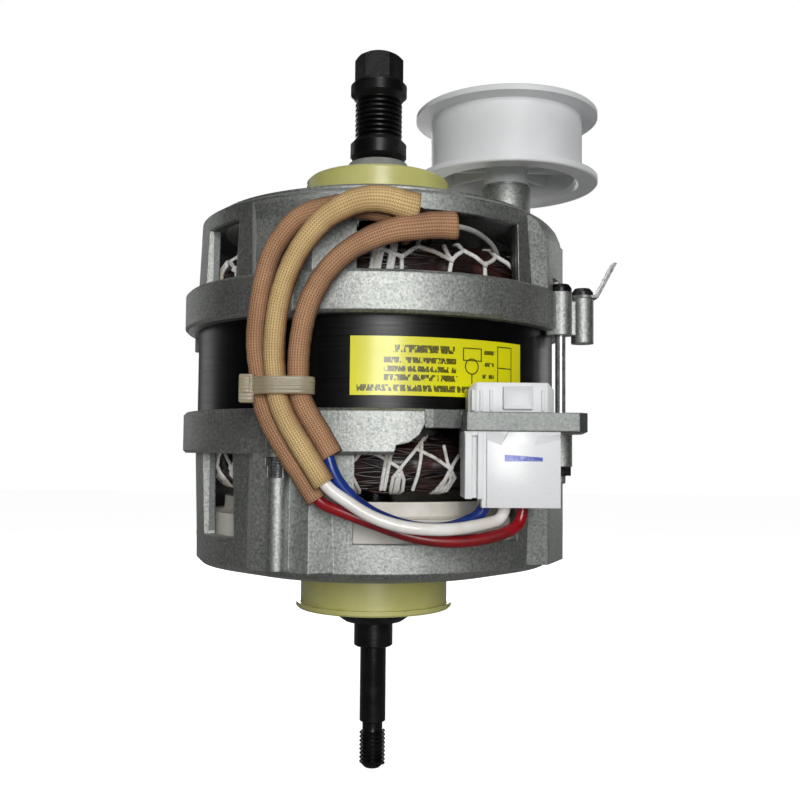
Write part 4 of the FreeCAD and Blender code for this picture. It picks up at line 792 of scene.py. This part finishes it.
# The rating label: yellow film stuck round the core. It carries only rows of strokes without
# meaning, a plain wiring symbol and an empty table, drawn in black.
film_yellow = Finish("yellow_label", paint(238, 232, 20), 0.35, Coat_Weight=0.3,
                     Coat_Roughness=0.15)
LABEL_RADIUS = 55.4
LABEL_LEFT = 6.8
LABEL_FOOT = 60.6
_, _, up = film_yellow.axes()
across = film_yellow.around() * LABEL_RADIUS + LABEL_LEFT
up = up * PER_MM - LABEL_FOOT


def boxed(x0, x1, y0, y1, line=0.36):
    """The outline of a rectangle on the label, in mm from its lower left corner."""
    inner = across.between(x0 + line, x1 - line) * up.between(y0 + line, y1 - line)
    return across.between(x0, x1) * up.between(y0, y1) * (1 - inner)


def ring(x, y, radius, line=0.2):
    """A drawn circle."""
    away = ((across - x) * (across - x) + (up - y) * (up - y)) ** 0.5
    return (abs(away - radius)).under(line)


marks = boxed(41.8, 47.4, 2.4, 14.2) + across.between(41.8, 47.4) * up.between(8.1, 8.45)
marks = marks + boxed(30.4, 36.4, 9.6, 13.2) + ring(33.2, 8.2, 2.0)
marks = marks + across.between(33.0, 33.4) * up.between(3.6, 6.3)
strokes = film_yellow.noise(1.0, 1.5, film_yellow.place((1250, 1250, 420))).over(0.45)
# rows of strokes without meaning: foot, left end, right end and height
ROWS = ((11.2, 11.2, 28.0, 2.0), (8.5, 8.8, 28.4, 1.5), (6.2, 8.8, 28.4, 1.5),
        (3.9, 8.8, 28.8, 1.6), (1.1, 1.8, 32.4, 1.7), (11.6, 37.2, 40.8, 1.1),
        (8.4, 37.2, 40.6, 1.1), (5.2, 36.6, 40.6, 1.1))
for foot, begin, end, tall in ROWS:
    marks = marks + across.between(begin, end) * up.between(foot, foot + tall) * strokes
ink = film_yellow.noise(2200, 2.0).ramp(0.25, 0.5)
fade = film_yellow.noise(50, 3.0)
ground = film_yellow.mixed(fade.ramp(0.4, 0.7), paint(238, 233, 14), paint(228, 222, 30))
film_yellow.tint(marks.ramp(0.0, 1.0) * (ink * 0.3 + 0.6), ground, paint(30, 30, 20))
film_yellow.feed("Roughness", fade * 0.2 + 0.26)
film_yellow.on(nodes["rating_label"])


# The fan guide: an off-white plastic ring in the lower shield that leads the fan's air. Its
# skin is matt, with a few scuffs.
guide = Finish("guide_plastic", paint(226, 222, 212), 0.5)
scuff = guide.noise(110, 4.0)
guide.tint(scuff.ramp(0.4, 0.72), paint(230, 226, 217), paint(206, 200, 188))
guide.feed("Roughness", scuff * 0.2 + 0.4)
guide.bump(guide.noise(700, 2), 0.00004)
guide.on(nodes["fan_guide"])


# The leads: three woven glass sleeves that carry the wires down from the winding, and three
# wires that leave them for the connector. Each sleeve is a tube pressed flat where it leaves
# the window and rounder below, with a herringbone of fine yarn.
SLEEVES = {
    "sleeve_outer": (0.1168, [
        (9.0, -48.6, 103.8), (8.6, -57.0, 105.8), (4.0, -59.8, 107.6), (-3.0, -60.0, 108.6),
        (-9.7, -59.8, 108.8), (-19.4, -59.4, 106.5), (-23.2, -59.6, 102.4), (-26.6, -60.4, 96.7),
        (-28.3, -60.6, 90.6), (-29.4, -60.2, 85.2), (-30.2, -59.2, 79.7), (-30.6, -58.6, 73.9),
        (-30.1, -58.3, 68.6), (-29.3, -58.5, 64.5), (-29.0, -58.8, 59.8), (-27.2, -60.0, 54.2),
        (-23.0, -60.8, 47.0), (-18.7, -61.2, 40.8), (-14.3, -61.8, 33.9)]),
    "sleeve_middle": (0.0987, [
        (10.4, -61.2, 108.2), (6.4, -62.6, 108.8), (2.2, -63.4, 109.8), (-3.6, -64.2, 109.6),
        (-9.3, -64.6, 107.1), (-13.9, -64.6, 104.0), (-17.6, -64.4, 99.3), (-20.6, -64.2, 94.6),
        (-22.8, -64.0, 89.1), (-24.3, -63.6, 83.9), (-25.1, -63.0, 79.2), (-25.6, -62.4, 74.0),
        (-25.7, -62.2, 69.4), (-25.2, -62.2, 65.2), (-24.7, -62.6, 59.6), (-22.4, -64.0, 53.9),
        (-17.8, -65.4, 46.5), (-12.4, -65.8, 38.0)]),
    "sleeve_inner": (0.0877, [
        (20.4, -57.6, 104.6), (15.4, -60.0, 104.2), (10.3, -61.7, 103.2), (4.2, -62.5, 102.3),
        (-1.6, -63.0, 100.0), (-7.4, -63.4, 96.6), (-12.6, -63.6, 91.4), (-16.0, -63.4, 85.8),
        (-17.8, -63.0, 80.9), (-18.9, -62.4, 75.6), (-19.5, -62.1, 69.8), (-19.5, -62.1, 65.0),
        (-19.1, -62.4, 59.8), (-16.9, -62.7, 55.2), (-13.8, -63.1, 50.6), (-10.6, -63.6, 44.9)]),
}
WIRES = {
    "wire_red": (0.0672, [
        (-15.7, -61.6, 36.1), (-13.8, -61.9, 33.1), (-9.3, -62.8, 31.5), (-4.3, -63.2, 29.7),
        (0.4, -63.2, 28.0), (9.2, -63.0, 24.9), (18.0, -62.2, 23.6), (27.2, -60.4, 24.1),
        (34.6, -58.4, 26.2), (38.2, -55.9, 28.9), (38.2, -55.9, 37.7)]),
    "wire_white": (0.0611, [
        (-13.7, -65.7, 40.1), (-11.8, -65.9, 37.1), (-7.8, -66.4, 34.4), (-1.1, -66.79, 30.1),
        (6.3, -66.79, 27.7), (13.7, -66.2, 27.0), (20.0, -64.6, 27.0), (27.2, -60.8, 28.0),
        (33.9, -55.9, 29.3), (33.9, -55.9, 37.7)]),
    "wire_blue": (0.0584, [
        (-12.3, -63.4, 47.4), (-11.2, -63.6, 42.8), (-9.4, -63.2, 38.8), (-6.2, -62.4, 34.9),
        (-1.2, -61.6, 31.0), (4.4, -61.0, 28.5), (11.5, -60.6, 26.8), (18.2, -59.6, 26.8),
        (23.6, -57.8, 28.4), (28.4, -56.0, 31.0), (29.3, -55.9, 37.7)]),
}
SLEEVE_RADIUS = 2.6
SLEEVE_WALL = 0.45
WIRE_RADIUS = 1.55
TAIL_RADIUS = 0.7
FLAT_SHARE = 0.32
YARN_PITCH = 0.0007
YARN_RIBS = 24


def smooth_line(name, route):
    """Points along the route's smooth curve, and nothing else of it left in the scene."""
    curve = bpy.data.curves.new(name, "CURVE")
    curve.dimensions = "3D"
    spline = curve.splines.new("NURBS")
    spline.points.add(len(route) - 1)
    for place, point in zip(spline.points, route):
        place.co = (*[value * MM for value in point], 1.0)
    spline.order_u = 3
    spline.use_endpoint_u = True
    spline.resolution_u = 10
    holder = bpy.data.objects.new(name + "_line", curve)
    show(holder)
    bpy.context.view_layer.update()
    mesh = bpy.data.meshes.new_from_object(holder)
    points = [vertex.co.copy() for vertex in mesh.vertices]
    bpy.data.objects.remove(holder)
    bpy.data.meshes.remove(mesh)
    return points


def hose(name, points, rings, sides):
    """A tube along points, open at both ends. rings gives the half width and half depth at
    each point, and the map "along" goes along the tube in metres and once round it."""
    verts = []
    lengths = [0.0]
    for before, after in zip(points, points[1:]):
        lengths.append(lengths[-1] + (after - before).length)
    for place, point in enumerate(points):
        ahead = points[min(place + 1, len(points) - 1)] - points[max(place - 1, 0)]
        ahead.normalize()
        # the flat side of the tube faces out from the motor's axis
        out = Vector((point.x, point.y, 0)).normalized()
        side = ahead.cross(out).normalized()
        out = side.cross(ahead).normalized()
        wide, deep = rings(lengths[place] / lengths[-1], place)
        for corner in range(sides):
            angle = math.tau * corner / sides
            verts.append(point + side * wide * math.cos(angle) + out * deep * math.sin(angle))
    faces = []
    for ring_index in range(len(points) - 1):
        for corner in range(sides):
            a = ring_index * sides + corner
            b = ring_index * sides + (corner + 1) % sides
            faces.append((a, b, b + sides, a + sides))
    mesh = bpy.data.meshes.new(name)
    mesh.from_pydata(verts, [], faces)
    layer = mesh.uv_layers.new(name="along")
    for face in mesh.polygons:
        face.use_smooth = True
        for loop, vertex in zip(face.loop_indices, face.vertices):
            ring_index, corner = divmod(vertex, sides)
            round_about = corner if corner or face.vertices[0] % sides == 0 else sides
            layer.data[loop].uv = (lengths[ring_index], round_about / sides)
    piece = bpy.data.objects.new(name, mesh)
    show(piece)
    return piece


def thickened(piece, wall):
    """Gives an open tube its wall, inwards."""
    pick(piece)
    edit_all()
    bpy.ops.mesh.normals_make_consistent(inside=False)
    leave_edit()
    apply(piece, "SOLIDIFY", thickness=wall * MM, offset=-1)


def woven(name, light, dark, shade):
    """A sleeve's finish: a herringbone of fine yarn with ribs along the tube, and painted shade.
    """
    yarn = Finish(name, light, 0.7)
    layer = yarn.tree.nodes.new("ShaderNodeUVMap")
    layer.uv_map = "along"
    split = yarn.tree.nodes.new("ShaderNodeSeparateXYZ")
    yarn.tree.links.new(layer.outputs[0], split.inputs[0])
    along = Number(yarn.tree, split.outputs[0])
    about = Number(yarn.tree, split.outputs[1])
    fuzz = yarn.noise(1500, 3.0)
    picks = along * (math.tau / YARN_PITCH) + fuzz * 1.5
    ribs = about * (math.tau * YARN_RIBS)
    chevron = (picks + abs((ribs * 0.5).sine()) * 3.4).sine() * 0.5 + 0.5
    rib = ribs.sine() * 0.5 + 0.5
    stain = yarn.noise(90, 3.0)
    # painted shade: the yarn is painted darker towards the edges and the inner side of the
    # flattened tube
    edge = 1 - (about * math.tau).sine().ramp(0.0, 0.95)
    weave = chevron * 0.5 + rib * 0.5
    tone = yarn.mixed(weave.ramp(0.1, 0.9) * 0.8 + fuzz * 0.2, dark, light)
    # random stains, mixed with the painted shade at the edges and inner side
    stain_and_painted_shade = (stain.ramp(0.4, 0.75) * 0.3 + edge * 0.8).ramp(0.0, 1.0)
    yarn.tint(stain_and_painted_shade, tone, shade)
    yarn.feed("Roughness", weave * -0.15 + fuzz * 0.1 + 0.7)
    yarn.bump(weave + fuzz * 0.3, 0.0002)
    return yarn


pinkish = woven("sleeve_pink", paint(222, 178, 136), paint(138, 84, 50), paint(74, 34, 18))
golden = woven("sleeve_gold", paint(252, 228, 168), paint(180, 130, 68), paint(106, 56, 20))


def sleeve_shape(share, place):
    """Half width and half depth along a sleeve: flat where it leaves the window, rounder below."""
    flat = max(0.0, 1 - share / FLAT_SHARE) ** 0.7
    wide = 1.10 + 0.34 * flat
    deep = 0.88 - 0.36 * flat
    ripple = 1 + 0.012 * math.sin(place * 0.9)
    return (SLEEVE_RADIUS * MM * wide * ripple, SLEEVE_RADIUS * MM * deep * ripple)


def evenly(radius):
    """The shape of a round wire, the same all along, for hose()."""
    return lambda share, place: (radius * MM, radius * MM)


leads = {}
for name, (_, route) in SLEEVES.items():
    points = smooth_line(name, route)
    sleeve = hose(name + "_woven", points, sleeve_shape, 28)
    thickened(sleeve, SLEEVE_WALL)
    (golden if name == "sleeve_middle" else pinkish).on(sleeve)
    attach(sleeve, "stator")
    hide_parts(name)
    leads[name] = (sleeve, points)

# where the two front sleeves end, open, at the window, their wires turn in to the winding
TAILS = {
    "lead_tail_light": ("wire_white", (196, 194, 190), [
        (15.5, -60.0, 104.1), (20.5, -57.4, 104.5), (25.0, -51.5, 105.0), (29.0, -43.5, 105.0),
        (33.0, -37.0, 103.6), (34.5, -31.5, 101.8)]),
    "lead_tail_dark": ("winding", (42, 26, 22), [
        (6.5, -62.5, 108.8), (10.5, -61.0, 108.2), (13.6, -57.5, 107.0), (14.8, -51.5, 105.0),
        (14.0, -45.5, 102.6)]),
}
for name, (slot, colour, route) in TAILS.items():
    tail = hose(name, smooth_line(name, route), evenly(TAIL_RADIUS), 12)
    skin_of_tail = Finish(name, paint(*colour), 0.4)
    dust = skin_of_tail.noise(400, 2.0)
    skin_of_tail.tint(dust * 0.5, paint(*colour), paint(30, 24, 20))
    skin_of_tail.feed("Roughness", dust * 0.3 + 0.25)
    skin_of_tail.on(tail)
    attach(tail, "stator")

# each wire's colour where it is clean and where it is soiled
WIRE_COLOURS = {"wire_red": ((150, 4, 18), (88, 4, 10)),
                "wire_white": ((246, 244, 240), (228, 222, 212)),
                "wire_blue": ((20, 56, 140), (8, 24, 84))}
for name, (_, route) in WIRES.items():
    points = smooth_line(name, route)
    wire = hose(name + "_cover", points, evenly(WIRE_RADIUS), 20)
    bright, deep = WIRE_COLOURS[name]
    cover = Finish(name, paint(*bright), 0.35, Coat_Weight=0.3, Coat_Roughness=0.2)
    grime = cover.noise(150, 3.0)
    cover.tint(grime.ramp(0.4, 0.75), paint(*bright), paint(*deep))
    cover.feed("Roughness", grime * 0.25 + 0.22)
    cover.bump(grime, 0.00004)
    cover.on(wire)
    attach(wire, "stator")
    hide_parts(name)
    leads[name] = (wire, points)

# the sleeves leave the window at the top, and each wire leaves the open end of its sleeve
for name, (length, route) in {**SLEEVES, **WIRES}.items():
    lead, points = leads[name]


# The cable tie: milky nylon drawn tight round the three sleeves, with fine teeth across it
# and its square head at the left, from which the cut tail stands out.
TIE_CENTRES = ((-29.1, -58.6), (-25.0, -62.35), (-19.3, -62.25))
TIE_REACH = 3.15
TIE_MIDDLE = 62.3
TIE_WIDTH = 4.4
TIE_THICKNESS = 0.9
TOOTH_PITCH = 0.0009

clear_nylon = Finish("clear_nylon", paint(206, 196, 172), 0.35, Subsurface_Weight=0.2,
                     Subsurface_Scale=0.002, Transmission_Weight=0.35)
cloud = clear_nylon.noise(240, 2.0)
clear_nylon.feed("Roughness", cloud * 0.25 + 0.2)
clear_nylon.tint(cloud, paint(212, 202, 178), paint(176, 160, 128))
_, _, up = clear_nylon.axes()
clear_nylon.bump((up * (math.tau / TOOTH_PITCH)).sine() * 0.5 + cloud * 0.2, 0.0001)

strap = start("cable_tie_strap", bpy.ops.mesh.primitive_circle_add, vertices=72, radius=1,
              fill_type="NOTHING")
leave_edit()
for vertex in strap.data.vertices:
    # each corner of the ring moves out to the sleeve that is furthest its way
    way = vertex.co.to_2d().normalized()
    centre = max(TIE_CENTRES, key=lambda c: way.dot(Vector(c)))
    vertex.co.x = (centre[0] + way.x * TIE_REACH) * MM
    vertex.co.y = (centre[1] + way.y * TIE_REACH) * MM
    vertex.co.z = (TIE_MIDDLE - TIE_WIDTH / 2) * MM
edit_all()
bpy.ops.mesh.extrude_region_move(TRANSFORM_OT_translate={"value": (0, 0, TIE_WIDTH * MM)})
bpy.ops.mesh.select_all(action="SELECT")
bpy.ops.mesh.normals_make_consistent(inside=False)
leave_edit()
apply(strap, "SOLIDIFY", thickness=TIE_THICKNESS * MM, offset=1)
rounded(strap, 0.2)
done(strap, "stator", outwards=False)
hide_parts("cable_tie")
lock = slab("cable_tie_lock", (-34.0, -64.7, 57.9), (-30.3, -61.2, 65.0), 0.5, 3)
done(lock, "stator")
tie_tail = slab("cable_tie_tail", (-33.2, -65.3, 60.4), (-31.2, -64.5, 64.2), 0.3)
done(tie_tail, "stator")
clear_nylon.on(strap, lock, tie_tail)


# The studio: a pale floor under the motor, a tall soft lamp behind the camera and weaker ones
# behind the motor, at both sides and above. The surroundings are white to the camera and to
# what shows through glass, and dim to the surfaces.
bpy.ops.object.select_all(action="DESELECT")
bpy.ops.mesh.primitive_plane_add(size=4, location=(0, 0, cad_low.z - 0.0006))
floor = bpy.context.object
floor.name = "floor"
floor_finish = Finish("floor", (0.3, 0.3, 0.3, 1.0), 0.9, Specular_IOR_Level=0.1)
seen = floor_finish.node("LightPath", "Is Camera Ray")
floor_finish.shader.inputs["Emission Strength"].default_value = 0.97
floor_finish.feed("Emission Color", floor_finish.mixed(seen, (0, 0, 0, 1), (1, 1, 1, 1)))
floor_finish.on(floor)


def lamp(name, place, aim, width, height, power):
    """A soft lamp that looks at a point."""
    light = bpy.data.lights.new(name, "AREA")
    light.shape = "RECTANGLE"
    light.size = width
    light.size_y = height
    light.energy = power
    holder = bpy.data.objects.new(name, light)
    holder.location = place
    holder.rotation_mode = "QUATERNION"
    holder.rotation_quaternion = (Vector(aim) - Vector(place)).to_track_quat("-Z", "Y")
    show(holder)


lamp("key", (0.075, -0.80, 0.20), (0, 0, 0.09), 0.24, 0.42, 4.5)
lamp("back", (-0.05, 0.80, 0.20), (0, 0, 0.08), 0.40, 0.42, 4.0)
lamp("right", (0.62, 0.52, 0.22), (0, 0, 0.08), 0.30, 0.40, 0.6)
lamp("left", (-0.62, 0.52, 0.22), (0, 0, 0.08), 0.30, 0.40, 0.4)
lamp("top", (0.0, -0.05, 0.8), (0, 0, 0.08), 0.4, 0.4, 1.0)

MIRRORED_SHARE = 0.015
world = bpy.data.worlds.new("studio")
world.use_nodes = True
bpy.context.scene.world = world
tree = world.node_tree
ground = tree.nodes["Background"]
ground.inputs["Color"].default_value = (1, 1, 1, 1)
ground.inputs["Strength"].default_value = 0.02
bright = tree.nodes.new("ShaderNodeBackground")
bright.inputs["Color"].default_value = (1, 1, 1, 1)
bright.inputs["Strength"].default_value = 1.0
path = tree.nodes.new("ShaderNodeLightPath")
mix = tree.nodes.new("ShaderNodeMixShader")
glass = Number(tree, path.outputs["Is Transmission Ray"])
seen = Number(tree, path.outputs["Is Camera Ray"])
mirrored = Number(tree, path.outputs["Is Glossy Ray"])
amount = seen + glass + mirrored * MIRRORED_SHARE
tree.links.new(amount.socket, mix.inputs[0])
tree.links.new(ground.outputs[0], mix.inputs[1])
tree.links.new(bright.outputs[0], mix.inputs[2])
tree.links.new(mix.outputs[0], tree.nodes["World Output"].inputs["Surface"])

# The camera stands in front, a little below the middle, and looks up and to the right. The
# middle of its picture lies 52 px above and 24.3 px right of the point straight ahead.
PICTURE_PIXELS = 800
FOCAL_PIXELS = 950
PITCH = math.atan(52 / FOCAL_PIXELS)
YAW = math.atan(24.3 / FOCAL_PIXELS)
ROLL = math.radians(0.52)
CAMERA_PLACE = (0, -0.300, 0.046)
view = bpy.data.cameras.new("camera")
view.sensor_width = 36
view.lens = FOCAL_PIXELS * view.sensor_width / PICTURE_PIXELS
view.clip_start = 0.01
camera = bpy.data.objects.new("camera", view)
show(camera)
ahead = Vector((math.sin(YAW) * math.cos(PITCH), math.cos(YAW) * math.cos(PITCH), math.sin(PITCH)))
level = Vector((math.cos(YAW), -math.sin(YAW), 0))
upright = level.cross(ahead)
right_hand = level * math.cos(ROLL) + upright * math.sin(ROLL)
upward = upright * math.cos(ROLL) - level * math.sin(ROLL)
camera.matrix_world = Matrix.Translation(CAMERA_PLACE) @ Matrix(
    (right_hand, upward, -ahead)).transposed().to_4x4()
bpy.context.scene.camera = camera
bpy.context.scene.view_settings.view_transform = "Standard"
